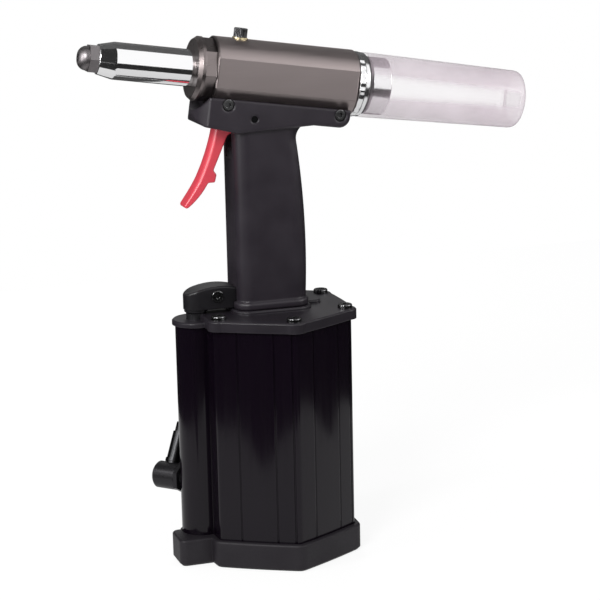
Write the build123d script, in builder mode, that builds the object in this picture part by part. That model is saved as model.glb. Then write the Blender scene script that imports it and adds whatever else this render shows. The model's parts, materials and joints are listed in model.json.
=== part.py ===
from build123d import *
from math import atan2, cos, degrees, pi, radians, sin, sqrt
import os

os.makedirs("parts", exist_ok=True)

# Air-hydraulic blind riveter with a mandrel collector, in millimetres.
# +Z is up, the nose points to -X, and the origin is on the air cylinder's axis at the foot.

# Clearances
fit_gap = 0.05
seat_gap = 0.1
free_gap = 0.3

# Air cylinder: bore, six bowed sides with fine creases, and a duct lobe at the front
cylinder_bore_r = 39.0
cylinder_wall = 4.4
cylinder_z = 4.0
cylinder_height = 140.7
side_bow = 0.8
corner_r = 3.5
crease_r = 0.5
crease_offset = 11.0
corner_groove_r = 0.6
corner_groove_offset = 21.9
duct_offset = 7.5
duct_lobe_r = 12.7
duct_bore_r = 5.0

# Rubber boot
boot_wall = 3.3
boot_height = 16.4
boot_rim_r = 1.4
boot_foot_chamfer = 1.6
boot_lobe_wall = 1.6
boot_toe_reach = 19.0
boot_toe_root = 6.5
boot_toe_near_y = -18.6
boot_toe_far_y = 4.5
boot_toe_r = 4.0

# Closed lower end of the cylinder
clip_z = 7.0
clip_thickness = 1.8
clip_depth = 1.4
clip_width = 3.4
clip_opening = 30.0
bottom_thickness = 8.0
ring_wire_r = 1.6
bumper_height = 3.0
bumper_inner_r = 12.0
bumper_outer_r = 24.0
plug_length = 6.0

# Air piston and ram
air_piston_height = 14.0
air_seal_r = 2.0
ram_r = 6.0
ram_stud_r = 4.0
nut_flats = 13.0
nut_height = 6.5
nut_recess_r = 9.0
nut_recess_depth = 8.0
ram_chamfer = 1.0
ram_rise = 15.3

# Upper cover
cover_grow = 2.4
cover_thickness = 6.2
cover_edge = 0.8
cover_boss_r = 6.8
cover_boss_blend = 5.0
cover_lobe_grow = 1.8
cover_lobe_thickness = 3.0
cover_ring_offset = 1.9
cover_ring_r = 0.9
screw_offset = 1.8
screw_r = 2.0
screw_head_r = 4.35
screw_head_height = 2.5
screw_reach = 10.0
screw_hole_depth = 12.0
screw_key_flats = 2.5
screw_key_depth = 1.4
plinth_height = 2.1
plinth_grow = 3.2
lug_length = 9.0
lug_half_width = 5.0

# Ram gland and oil tube
gland_flange_r = 14.0
gland_flange_height = 5.0
gland_r = 8.4
gland_above_cover = 7.1
ram_seal_r = 7.4
ram_seal_height = 5.0
oil_tube_r = 8.4
oil_bore_r = 6.5
oil_neck_r = 5.0
oil_neck_bore_r = 2.5
oil_neck_depth = 2.0
oil_tube_shoulder = 2.0

# Head axis: height on the cylinder's axis and nose-up tilt
head_rise = 144.45
head_tilt = 8.4

# Grip of the handle, seen from the side
grip_front_x = -23.6
grip_foot_rear_x = 18.5
grip_belly_x = 19.5
grip_belly_rise = 40.3
grip_neck_x = 14.9
grip_neck_drop = 37.65
grip_half_width = 17.0
grip_corner_r = 8.0
grip_throat_x = 24.0
grip_flange_x = 40.0
bead_height = 4.6
bead_grow = 1.8
bead_r = 1.5

# Saddle under the head, in lengths along and heights above the head's axis
saddle_half_width = 20.0
saddle_edge_r = 1.4
saddle_top_t = -14.5
grip_top_drop = 6.65
saddle_front_s = -42.3
saddle_nose_r = 40.0
saddle_chin_t = -25.6
saddle_chin_s = -38.0
saddle_front_t = -31.6
saddle_belly_s = -18.0
saddle_belly_t = -33.6
saddle_rear_t = -25.0
saddle_rear_from_s = 27.0
saddle_rear_s = 48.9
saddle_rear_r = 6.5
cradle_step = 3.8
saddle_screw_s = (-26.0, 42.5)
saddle_screw_t = -17.7
saddle_screw_r = 2.0
saddle_screw_head_r = 3.5
saddle_screw_head_height = 3.6
saddle_screw_key_flats = 3.0
saddle_screw_sink = 4.2
saddle_screw_tip_y = 4.0

# Trigger: pivot on the head's lengths, outline in the side view with heights from the head's centre
trigger_pin_s = -9.5
trigger_pin_t = -24.4
trigger_pin_r = 2.0
trigger_eye_r = 3.3
trigger_half_width = 6.0
trigger_edge_r = 0.8
trigger_front_r = 2.0
trigger_shoulder_at = (-32.7, -25.95)
trigger_front_at = (-39.2, -47.65)
trigger_tip_front_at = (-52.2, -71.95)
trigger_tip_rear_at = (-50.6, -74.25)
trigger_finger_at = (-44.3, -68.75)
trigger_nub_low_at = (-38.0, -60.25)
trigger_nub_at = (-33.9, -60.25)
trigger_nub_top_at = (-32.7, -55.55)
trigger_nub_root_at = (-34.6, -53.15)
trigger_back_at = (-29.5, -41.95)
trigger_heel_at = (-25.8, -33.35)
slot_gap = 0.5
slot_below_back = 5.0
pin_recess = 0.3

# Push rod down the grip to the valve
rod_x = -19.5
rod_r = 2.0
rod_gap = 0.3

# Valve chest ahead of the grip's foot
chest_half_width = 8.0
chest_nose_offset = 0.5
chest_bottom_rise = 9.0
chest_top_rear_rise = 21.2
chest_top_mid_rise = 22.3
chest_top_front_rise = 17.9
chest_boss_rise = 6.5
chest_boss_r = 7.0
chest_edge_r = 1.2
chest_boss_chamfer = 1.0
chest_bore_r = 4.6
chest_ceiling_rise = 19.1
chest_slot_half_width = 4.2
neck_r = 4.4
neck_bore_r = 2.3
neck_flange_r = 6.0
neck_foot_rise = 0.5
neck_top_rise = 7.7
neck_ring_r = 0.7
stem_r = 1.7
stem_disc_r = 3.4
stem_disc_height = 1.5
stem_head_rise = 13.7
stem_head_height = 1.4
valve_wire_r = 0.25
valve_coil_r = 2.4
valve_turns = 3.0
rocker_offset = 11.2
rocker_rise = 16.7
rocker_half_height = 2.0
rocker_half_width = 3.3
rocker_fork_height = 2.5
rocker_fork_reach = 1.5
rocker_fork_offset = 6.0
rocker_pin_r = 1.2
rocker_pin_head_r = 3.6
rocker_pin_head_height = 1.3
rocker_key_flats = 2.5
rocker_key_depth = 0.8
rocker_headroom = 1.2

# Hydraulic head
head_r = 20.0
head_half_width = 18.0
head_front_s = -34.5
head_rear_s = 52.6
head_edge = 0.9
hyd_bore_r = 15.0
hyd_bore_s = -22.0
nose_socket_r = 10.0
nose_socket_s = -27.0
oil_duct_r = 1.4
oil_duct_t = -17.3
oil_port_s = -17.8
bleed_spot_r = 5.0
bleed_r = 2.0
bleed_head_r = 4.0
bleed_head_height = 5.4
bleed_key_flats = 4.0
bleed_key_depth = 2.5
washer_r = 4.6
washer_thickness = 1.3

# Hydraulic piston, its rod and the return spring
rod_main_r = 7.0
rod_bore_r = 4.0
rod_thread_r = 6.3
rod_thread_length = 6.0
rod_front_s = -58.0
piston_front_s = -14.0
piston_length = 12.0
piston_boss_r = 8.0
piston_boss_length = 5.0
piston_ring_r = 1.7
bush_flange_s = -19.6
rod_seal_r = 1.0
return_wire_r = 1.25
return_coil_r = 11.5
return_turns = 5.5
cap_front_s = 33.0

# Rear cap, vacuum ring, spigot and mandrel collector
cap_ring_r = 1.2
cap_ring_s = 44.0
cap_neck_r = 13.0
cap_stud_r = 10.0
cap_stud_s = 66.0
guide_r = 4.9
guide_bore_r = 4.1
guide_rear_s = 56.0
guide_hole_r = 5.3
vacuum_ring_r = 19.4
vacuum_ring_length = 3.3
vacuum_ring_edge = 0.5
spigot_flange_r = 19.0
spigot_flange_length = 2.3
spigot_r = 17.0
spigot_rear_s = 73.4
spigot_mouth_r = 13.0
spigot_ring_r = 1.1
collector_front_r = 19.3
collector_end_r = 17.4
collector_wall = 2.0
collector_socket_s = 76.0
collector_rear_s = 161.4
collector_base = 3.0
collector_corner_r = 4.0

# Nose: octagonal collar with a round lip, housing, nosepiece and jaws
collar_front_s = -45.3
collar_front_r = 17.2
collar_lip_s = -43.0
collar_lip_r = 18.9
collar_shoulder_s = -41.0
collar_flats = 34.5
collar_turn = 7.0
nose_r = 10.8
nose_bore_r = 8.2
nose_tail_r = 9.9
nose_cone_s = -91.5
nose_front_s = -101.0
nose_front_r = 8.6
nose_thread_r = 5.5
nose_chamber_s = -94.0
tip_flats = 15.0
tip_hex_length = 5.3
tip_dome_r = 7.0
tip_dome_length = 5.7
tip_face_r = 3.6
tip_bore_r = 2.25
tip_shank_length = 7.0
tip_opener_r = 3.2
tip_opener_length = 3.9
case_r = 7.9
case_front_s = -91.2
case_mouth_r = 4.9
case_cone_rear_s = -78.0
case_bore_r = 6.4
jaw_length = 11.6
jaw_front_gap = 1.4
jaw_bore_r = 2.3
jaw_lead = 2.0
jaw_lead_r = 3.4
jaw_slit = 1.3
jaw_tooth_pitch = 1.2
jaw_tooth_depth = 0.3
pusher_length = 6.4
pusher_lead = 3.4
pusher_front_r = 5.6
pusher_bore_r = 2.9
pusher_tail_r = 3.6
pusher_tail_length = 12.0
pusher_wire_r = 0.5
pusher_coil_r = 4.9
pusher_turns = 3.5

# Swivelling air inlet low on the duct lobe
inlet_z = 47.0
inlet_yaw = 47.0
inlet_bore_r = 2.5
inlet_thread_r = 5.0
inlet_hex_flats = 16.5
inlet_hex_length = 2.5
inlet_journal_r = 4.6
inlet_ring_r = 0.8
swivel_r = 8.2
swivel_length = 16.9
swivel_dome = 2.6
swivel_face_r = 3.0
swivel_cap = 2.0
nipple_seat = 5.2
nipple_from_front = 7.4
nipple_lean = 30.0
nipple_r = 4.2
nipple_bore_r = 2.6
nipple_collar_r = 4.8
nipple_collar_length = 2.0
nipple_tip_r = 3.4
nipple_length = 25.0
nipple_groove_length = 6.0

# Places that hang on the sizes above
flat_apothem = cylinder_bore_r + cylinder_wall
duct_x = -cylinder_bore_r - duct_offset
deck_z = cylinder_z + cylinder_height
head_z = deck_z + head_rise
boot_toe_front_x = duct_x - boot_toe_reach
boot_toe_rear_x = duct_x + boot_toe_root
ram_top_z = deck_z + ram_rise
cover_ring_circle = cylinder_bore_r + cover_ring_offset
screw_circle = flat_apothem + screw_offset
grip_belly_z = deck_z + grip_belly_rise
grip_neck_z = head_z - grip_neck_drop
grip_top_z = head_z + saddle_top_t - grip_top_drop
chest_bottom_z = deck_z + chest_bottom_rise
chest_top_rear_z = deck_z + chest_top_rear_rise
chest_top_mid_z = deck_z + chest_top_mid_rise
chest_top_front_z = deck_z + chest_top_front_rise
chest_boss_z = deck_z + chest_boss_rise
chest_ceiling_z = deck_z + chest_ceiling_rise
neck_foot_z = deck_z + neck_foot_rise
neck_top_z = deck_z + neck_top_rise
stem_head_z = deck_z + stem_head_rise
rocker_z = deck_z + rocker_rise
chest_nose_x = duct_x + chest_nose_offset
rocker_x = duct_x + rocker_offset
rocker_fork_from_x = duct_x + rocker_fork_offset


def beside_head(place):
    """Point of the side view from its x and its height above the head's centre."""
    return (place[0], head_z + place[1])


trigger_shoulder = beside_head(trigger_shoulder_at)
trigger_front = beside_head(trigger_front_at)
trigger_tip_front = beside_head(trigger_tip_front_at)
trigger_tip_rear = beside_head(trigger_tip_rear_at)
trigger_finger = beside_head(trigger_finger_at)
trigger_nub_low = beside_head(trigger_nub_low_at)
trigger_nub = beside_head(trigger_nub_at)
trigger_nub_top = beside_head(trigger_nub_top_at)
trigger_nub_root = beside_head(trigger_nub_root_at)
trigger_back = beside_head(trigger_back_at)
trigger_heel = beside_head(trigger_heel_at)

# Levels of the air motor
cover_top_z = deck_z + cover_thickness
cover_lobe_z = deck_z + cover_lobe_thickness
foot_z = cover_top_z + plinth_height
bottom_cover_z = clip_z + clip_thickness + seat_gap
bumper_z = bottom_cover_z + bottom_thickness
air_piston_z = bumper_z + bumper_height + free_gap
air_piston_top_z = air_piston_z + air_piston_height
gland_top_z = cover_top_z + gland_above_cover

# Planes and axes of the tilted head: along s to the rear, up t, and across y
head_origin = Vector(0, 0, head_z)
head_back = Vector(cos(radians(head_tilt)), 0, -sin(radians(head_tilt)))
head_up = Vector(sin(radians(head_tilt)), 0, cos(radians(head_tilt)))
head_axis = Axis(head_origin, head_back)
head_side = Plane(head_origin, x_dir=head_back, z_dir=(0, -1, 0))

# Plane and axis of the air inlet, pointing forward and to the far side
inlet_out = Vector(-cos(radians(inlet_yaw)), sin(radians(inlet_yaw)), 0)
inlet_origin = Vector(duct_x, 0, inlet_z)
inlet_axis = Axis(inlet_origin, inlet_out)
inlet_side = Plane(inlet_origin, x_dir=inlet_out, z_dir=inlet_out.cross(Vector(0, 0, 1)))


def head_point(s, t, y=0.0):
    """Point at length s and height t from the head's axis."""
    return head_origin + head_back * s + head_up * t + Vector(0, y, 0)


def head_cross(s):
    """Plane square to the head's axis: local x is across, local y is up."""
    return Plane(head_point(s, 0), x_dir=(0, 1, 0), z_dir=head_back)


def face_of(plane, *points):
    """Straight-sided face on a plane."""
    with BuildSketch(plane) as drawn:
        with BuildLine():
            Polyline(*points, close=True)
        make_face()
    return drawn.sketch


def band(plane, start, end, inner_r, outer_r):
    """Rectangle that turns into a plain ring about the plane's x axis."""
    return face_of(plane, (start, inner_r), (end, inner_r), (end, outer_r), (start, outer_r))


def upright_band(low, high, inner_r, outer_r):
    """Rectangle that turns into a plain ring about the Z axis."""
    return face_of(Plane.XZ, (inner_r, low), (outer_r, low), (outer_r, high), (inner_r, high))


def disc_section(plane, along, ring_r, wire_r):
    """Round section of an O-ring about the plane's x axis."""
    with BuildSketch(plane) as drawn:
        with Locations((along, ring_r)):
            Circle(wire_r)
    return drawn.sketch


def barrel_outline(grow):
    """Six bowed sides with rounded corners, without the duct lobe, grown outwards by a margin."""
    apothem = flat_apothem + grow
    reach = (apothem - side_bow) / cos(pi / 6)
    with BuildSketch() as outline:
        with BuildLine():
            for side in range(6):
                middle = side * pi / 3
                start = (reach * cos(middle - pi / 6), reach * sin(middle - pi / 6))
                end = (reach * cos(middle + pi / 6), reach * sin(middle + pi / 6))
                ThreePointArc(start, (apothem * cos(middle), apothem * sin(middle)), end)
        make_face()
        fillet(outline.vertices(), corner_r + grow)
    return outline.sketch


def motor_outline(grow):
    """Outline of the air motor with its duct lobe, grown outwards by a margin."""
    with BuildSketch() as outline:
        add(barrel_outline(grow))
        with Locations((duct_x, 0)):
            Circle(duct_lobe_r + grow)
    return outline.sketch


def grip_outline(grow):
    """Rounded section of the grip's foot, grown outwards by a margin."""
    length = grip_foot_rear_x - grip_front_x
    with BuildSketch() as outline:
        with Locations(((grip_foot_rear_x + grip_front_x) / 2, 0)):
            RectangleRounded(
                length + 2 * grow, 2 * (grip_half_width + grow), grip_corner_r + grow
            )
    return outline.sketch


def head_outline(s, grow):
    """Section of the hydraulic head: a round with two flats."""
    with BuildSketch(head_cross(s)) as outline:
        Circle(head_r + grow)
        Rectangle(2 * (head_half_width + grow), 3 * head_r, mode=Mode.INTERSECT)
    return outline.sketch


def coil_path(plane, coil_r, length, turns):
    """Helix about a plane's normal, as two tangent arcs for each quarter turn."""
    steps = round(4 * turns)
    climb = length / (2 * pi * turns)

    def station(index):
        angle = index * pi / 2
        point = Vector(coil_r * cos(angle), coil_r * sin(angle), climb * angle)
        ahead = Vector(-coil_r * sin(angle), coil_r * cos(angle), climb).normalized()
        return plane.from_local_coords(point), plane.from_local_coords(ahead) - plane.origin

    with BuildLine() as path:
        for index in range(steps):
            start, leaving = station(index)
            end, arriving = station(index + 1)
            chord = end - start
            both = leaving + arriving
            spread = 2 * (1 - leaving.dot(arriving))
            slope = chord.dot(both)
            reach = (sqrt(slope**2 + spread * chord.dot(chord)) - slope) / spread
            middle = (start + end + (leaving - arriving) * reach) / 2
            TangentArc(start, middle, tangent=leaving)
            TangentArc(middle, end, tangent=chord - both * reach)
    return path.line


def coil_spring(plane, coil_r, wire_r, length, turns):
    """Coil spring that stands on a plane, a hair short of both its seats."""
    margin = wire_r + seat_gap
    seat = plane.offset(margin)
    with BuildPart() as coil:
        path = coil_path(seat, coil_r, length - 2 * margin, turns)
        with BuildSketch(Plane(path @ 0, z_dir=path % 0)):
            Circle(wire_r)
        sweep(path=path)
    pitch = (length - 2 * margin) / turns
    print(f"coil gap {pitch - 2 * wire_r:.2f} mm over {turns} turns")
    return coil.part


# Rubber boot round the cylinder's foot, with a square toe ahead of the duct lobe
with BuildPart() as base_boot:
    toe_middle = ((boot_toe_front_x + boot_toe_rear_x) / 2, (boot_toe_near_y + boot_toe_far_y) / 2)
    with BuildSketch():
        add(barrel_outline(boot_wall))
        with Locations((duct_x, 0)):
            Circle(duct_lobe_r + boot_lobe_wall)
        with Locations(toe_middle):
            RectangleRounded(
                boot_toe_rear_x - boot_toe_front_x, boot_toe_far_y - boot_toe_near_y, boot_toe_r
            )
    extrude(amount=boot_height)
    fillet(base_boot.edges().group_by(Axis.Z)[-1], boot_rim_r)
    chamfer(base_boot.edges().group_by(Axis.Z)[0], boot_foot_chamfer)
    with BuildSketch(Plane.XY.offset(cylinder_z)):
        add(motor_outline(seat_gap))
    extrude(amount=boot_height, mode=Mode.SUBTRACT)

# Air cylinder: extruded body with its bore, air duct, tapped corners and creases on five sides
side_half = (flat_apothem - side_bow) * sin(pi / 6) / cos(pi / 6)
side_grooves = (
    (-crease_offset, crease_r),
    (crease_offset, crease_r),
    (corner_groove_offset, corner_groove_r),
)
with BuildPart() as air_cylinder:
    with BuildSketch(Plane.XY.offset(cylinder_z)):
        add(motor_outline(0))
        Circle(cylinder_bore_r, mode=Mode.SUBTRACT)
        with Locations((duct_x, 0)):
            Circle(duct_bore_r, mode=Mode.SUBTRACT)
        for offset, groove_r in side_grooves:
            depth = flat_apothem - side_bow * (offset / side_half) ** 2
            spin = degrees(atan2(offset, depth))
            reach = sqrt(depth**2 + offset**2)
            for side in range(-2, 3):
                with PolarLocations(reach, 1, start_angle=spin + 60 * side):
                    Circle(groove_r, mode=Mode.SUBTRACT)
    extrude(amount=cylinder_height)
    with BuildSketch(Plane.XY.offset(deck_z)):
        with PolarLocations(screw_circle, 6, start_angle=30):
            Circle(screw_r + fit_gap)
    extrude(amount=-screw_hole_depth, mode=Mode.SUBTRACT)
    revolve(
        upright_band(clip_z, clip_z + clip_thickness + seat_gap, 0, cylinder_bore_r + clip_depth),
        axis=Axis.Z,
        mode=Mode.SUBTRACT,
    )
    revolve(
        band(inlet_side, 0, 2 * duct_lobe_r, 0, inlet_thread_r + fit_gap),
        axis=inlet_axis,
        mode=Mode.SUBTRACT,
    )

# Plug that closes the air duct's lower end
with BuildPart() as duct_plug:
    with BuildSketch(Plane.XY.offset(cylinder_z)):
        with Locations((duct_x, 0)):
            Circle(duct_bore_r - fit_gap)
    extrude(amount=plug_length)

# Bottom cover with its O-ring, circlip and rubber bumper
ring_seat = 2 * ring_wire_r + seat_gap
bottom_ring_z = bottom_cover_z + bottom_thickness / 2
with BuildPart() as bottom_cover:
    revolve(
        upright_band(bottom_cover_z, bumper_z, 0, cylinder_bore_r - fit_gap), axis=Axis.Z
    )
    revolve(
        upright_band(
            bottom_ring_z - ring_seat / 2,
            bottom_ring_z + ring_seat / 2,
            cylinder_bore_r - ring_seat,
            cylinder_bore_r,
        ),
        axis=Axis.Z,
        mode=Mode.SUBTRACT,
    )

with BuildPart() as bottom_o_ring:
    with Locations((0, 0, bottom_ring_z)):
        Torus(cylinder_bore_r - ring_wire_r - fit_gap, ring_wire_r)

with BuildPart() as bottom_circlip:
    clip_r = cylinder_bore_r + clip_depth - seat_gap
    with BuildSketch(Plane.XY.offset(clip_z)):
        Circle(clip_r)
        Circle(clip_r - clip_width, mode=Mode.SUBTRACT)
        with Locations((clip_r, 0)):
            Rectangle(4 * clip_width, clip_opening, mode=Mode.SUBTRACT)
    extrude(amount=clip_thickness)

with BuildPart() as piston_bumper:
    revolve(
        upright_band(bumper_z, bumper_z + bumper_height, bumper_inner_r, bumper_outer_r),
        axis=Axis.Z,
    )

# Air piston, its seal, the ram and the ram's nut
air_seal_z = air_piston_z + air_piston_height / 2
air_groove = 2 * air_seal_r + seat_gap
with BuildPart() as air_piston:
    revolve(
        upright_band(air_piston_z, air_piston_top_z, 0, cylinder_bore_r - free_gap), axis=Axis.Z
    )
    revolve(
        upright_band(
            air_seal_z - air_groove / 2,
            air_seal_z + air_groove / 2,
            cylinder_bore_r - air_groove,
            cylinder_bore_r,
        ),
        axis=Axis.Z,
        mode=Mode.SUBTRACT,
    )
    with BuildSketch(Plane.XY.offset(air_piston_z)):
        Circle(nut_recess_r)
    extrude(amount=nut_recess_depth, mode=Mode.SUBTRACT)
    with BuildSketch(Plane.XY.offset(air_piston_z)):
        Circle(ram_stud_r + fit_gap)
    extrude(amount=air_piston_height, mode=Mode.SUBTRACT)

with BuildPart() as air_piston_seal:
    with Locations((0, 0, air_seal_z)):
        Torus(cylinder_bore_r - air_seal_r - fit_gap, air_seal_r)

nut_top_z = air_piston_z + nut_recess_depth
with BuildPart() as ram:
    with BuildSketch(Plane.XY.offset(air_piston_top_z)):
        Circle(ram_r)
    extrude(amount=ram_top_z - air_piston_top_z)
    chamfer(ram.edges().group_by(Axis.Z)[-1], ram_chamfer)
    with BuildSketch(Plane.XY.offset(nut_top_z - nut_height)):
        Circle(ram_stud_r)
    extrude(amount=air_piston_top_z - nut_top_z + nut_height)

with BuildPart() as ram_nut:
    with BuildSketch(Plane.XY.offset(nut_top_z - nut_height)):
        RegularPolygon(nut_flats / 2, 6, major_radius=False)
        Circle(ram_stud_r + fit_gap, mode=Mode.SUBTRACT)
    extrude(amount=nut_height)

# Upper cover with the plinth under the handle, its O-ring and its six screws
cover_groove = 2 * cover_ring_r - seat_gap
with BuildPart() as upper_cover:
    with BuildSketch(Plane.XY.offset(deck_z)) as cover_outline:
        add(barrel_outline(cover_grow))
        with PolarLocations(screw_circle, 6, start_angle=30):
            Circle(cover_boss_r)
        fillet(cover_outline.vertices(), cover_boss_blend)
    extrude(amount=cover_thickness)
    chamfer(upper_cover.edges().group_by(Axis.Z)[-1], cover_edge)
    with BuildSketch(Plane.XY.offset(deck_z)):
        with Locations((duct_x, 0)):
            Circle(duct_lobe_r + cover_lobe_grow)
    extrude(amount=cover_lobe_thickness)
    lobe_rim = upper_cover.edges().filter_by(
        lambda edge: abs(edge.center().Z - cover_lobe_z) < cover_edge / 2
        and edge.center().X < duct_x
    )
    chamfer(lobe_rim, cover_edge)
    with BuildSketch(Plane.XY.offset(cover_top_z)):
        add(grip_outline(plinth_grow))
        with Locations((grip_foot_rear_x + lug_length / 2, 0)):
            RectangleRounded(lug_length + 2 * plinth_grow, 2 * lug_half_width, lug_half_width - 1)
    extrude(amount=plinth_height)
    chamfer(upper_cover.edges().group_by(Axis.Z)[-1], cover_edge)
    with BuildSketch(Plane.XY.offset(deck_z)):
        Circle(gland_r + seat_gap)
        with PolarLocations(screw_circle, 6, start_angle=30):
            Circle(screw_r + seat_gap)
        with Locations((duct_x, 0)):
            Circle(neck_r + seat_gap)
    extrude(amount=cover_thickness + plinth_height, mode=Mode.SUBTRACT)
    with BuildSketch(Plane.XY.offset(cover_lobe_z)):
        with Locations((duct_x, 0)):
            Circle(neck_flange_r + seat_gap)
    extrude(amount=cover_thickness, mode=Mode.SUBTRACT)
    revolve(
        upright_band(
            deck_z,
            deck_z + cover_groove,
            cover_ring_circle - cover_ring_r - seat_gap,
            cover_ring_circle + cover_ring_r + seat_gap,
        ),
        axis=Axis.Z,
        mode=Mode.SUBTRACT,
    )

with BuildPart() as cover_o_ring:
    with Locations((0, 0, deck_z + cover_groove / 2)):
        Torus(cover_ring_circle, cover_groove / 2)

with BuildPart() as cover_screws:
    with BuildSketch(Plane.XY.offset(cover_top_z)):
        with PolarLocations(screw_circle, 6, start_angle=30):
            Circle(screw_head_r)
    extrude(amount=screw_head_height)
    fillet(cover_screws.edges().group_by(Axis.Z)[-1], screw_head_height / 3)
    with BuildSketch(Plane.XY.offset(cover_top_z + screw_head_height)):
        with PolarLocations(screw_circle, 6, start_angle=30):
            RegularPolygon(screw_key_flats / 2, 6, major_radius=False)
    extrude(amount=-screw_key_depth, mode=Mode.SUBTRACT)
    with BuildSketch(Plane.XY.offset(cover_top_z)):
        with PolarLocations(screw_circle, 6, start_angle=30):
            Circle(screw_r)
    extrude(amount=-(cover_thickness + screw_reach))

# Gland and seal that guide the ram into the oil tube
with BuildPart() as ram_gland:
    with BuildSketch(Plane.XY.offset(deck_z - gland_flange_height)):
        Circle(gland_flange_r)
    extrude(amount=gland_flange_height)
    with BuildSketch(Plane.XY.offset(deck_z)):
        Circle(gland_r)
    extrude(amount=gland_top_z - deck_z)
    with BuildSketch(Plane.XY.offset(deck_z - gland_flange_height)):
        Circle(ram_r + fit_gap)
    extrude(amount=gland_top_z, mode=Mode.SUBTRACT)
    with BuildSketch(Plane.XY.offset(gland_top_z)):
        Circle(ram_seal_r + fit_gap)
    extrude(amount=-ram_seal_height, mode=Mode.SUBTRACT)

with BuildPart() as ram_seal:
    revolve(
        upright_band(gland_top_z - ram_seal_height, gland_top_z, ram_r + fit_gap, ram_seal_r),
        axis=Axis.Z,
    )

head_under_z = head_z - head_r / cos(radians(head_tilt))
oil_shoulder_z = head_under_z - oil_tube_r * sin(radians(head_tilt)) / cos(radians(head_tilt)) - seat_gap
oil_neck_top_z = head_under_z + oil_neck_depth
with BuildPart() as oil_tube:
    with BuildSketch(Plane.XY.offset(gland_top_z)):
        Circle(oil_tube_r)
    extrude(amount=oil_shoulder_z - gland_top_z)
    with BuildSketch(Plane.XY.offset(oil_shoulder_z)):
        Circle(oil_neck_r)
    extrude(amount=oil_neck_top_z - oil_shoulder_z)
    with BuildSketch(Plane.XY.offset(gland_top_z)):
        Circle(oil_bore_r)
    extrude(amount=oil_shoulder_z - gland_top_z - oil_tube_shoulder, mode=Mode.SUBTRACT)
    with BuildSketch(Plane.XY.offset(gland_top_z)):
        Circle(oil_neck_bore_r)
    extrude(amount=oil_neck_top_z - gland_top_z, mode=Mode.SUBTRACT)

# Saddle: cradle for the head with a bowed front
with BuildPart() as saddle:
    with BuildSketch(head_side):
        with BuildLine():
            Line((saddle_front_s, saddle_top_t), (saddle_front_s, saddle_chin_t))
            TangentArc(
                (saddle_front_s, saddle_chin_t), (saddle_chin_s, saddle_front_t), tangent=(0, -1)
            )
            Line((saddle_chin_s, saddle_front_t), (saddle_belly_s, saddle_belly_t))
            Line((saddle_belly_s, saddle_belly_t), (saddle_rear_from_s, saddle_rear_t))
            Line(
                (saddle_rear_from_s, saddle_rear_t),
                (saddle_rear_s - saddle_rear_r, saddle_rear_t),
            )
            RadiusArc(
                (saddle_rear_s - saddle_rear_r, saddle_rear_t),
                (saddle_rear_s, saddle_rear_t + saddle_rear_r),
                -saddle_rear_r,
            )
            Line((saddle_rear_s, saddle_rear_t + saddle_rear_r), (saddle_rear_s, saddle_top_t))
            Line((saddle_rear_s, saddle_top_t), (saddle_front_s, saddle_top_t))
        make_face()
    extrude(amount=saddle_half_width, both=True)
    nose_centre = head_point(saddle_front_s + saddle_nose_r, 0)
    with BuildSketch(Plane(nose_centre, x_dir=head_back, z_dir=head_up)):
        Circle(saddle_nose_r)
        with Locations((saddle_nose_r, 0)):
            Rectangle(2 * saddle_nose_r, 2 * saddle_nose_r)
    extrude(amount=2 * saddle_nose_r, both=True, mode=Mode.INTERSECT)
    low_edges = saddle.edges().filter_by(
        lambda edge: abs(edge.center().Y) > saddle_half_width - seat_gap
        and (edge.center() - head_point(0, 0)).dot(head_up) < saddle_rear_t + saddle_rear_r / 2
    )
    fillet(low_edges, saddle_edge_r)

# Bead round the grip's foot
with BuildPart() as foot_bead:
    with BuildSketch(Plane.XY.offset(foot_z)):
        add(grip_outline(bead_grow))
    extrude(amount=bead_height)
    fillet(foot_bead.edges().group_by(Axis.Z)[0], bead_r)
    fillet(foot_bead.edges().group_by(Axis.Z)[-1], bead_r)

# Trigger slot through the saddle's underside and the grip's front
trigger_pivot = head_point(trigger_pin_s, trigger_pin_t)
slot_top_z = trigger_pivot.Z + trigger_eye_r + 4 * slot_gap
slot_rear_x = trigger_pivot.X + trigger_eye_r + slot_gap
slot_low_z = trigger_back[1] - slot_below_back
trigger_slot = (
    (trigger_shoulder[0] - 5 * slot_gap, slot_low_z),
    (trigger_shoulder[0] - 5 * slot_gap, trigger_shoulder[1] + 2 * slot_gap),
    (trigger_shoulder[0], trigger_shoulder[1] + 6 * slot_gap),
    (trigger_pivot.X - trigger_eye_r, slot_top_z),
    (slot_rear_x, slot_top_z),
    (slot_rear_x, trigger_pivot.Z - trigger_eye_r),
    (rod_x + rod_r + slot_gap, trigger_heel[1] + 3 * slot_gap),
    (rod_x - rod_r - slot_gap, trigger_back[1]),
    (grip_front_x + slot_gap, slot_low_z),
)

# Rocker between push rod and valve stem: levels of its slot and fork
fork_top_z = stem_head_z - free_gap
fork_low_z = fork_top_z - rocker_fork_height
rocker_slot_low_z = fork_low_z - slot_gap
rocker_slot_high_z = rocker_z + rocker_half_height + rocker_headroom
rod_foot_z = rocker_z + rocker_half_height + rod_gap

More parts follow.
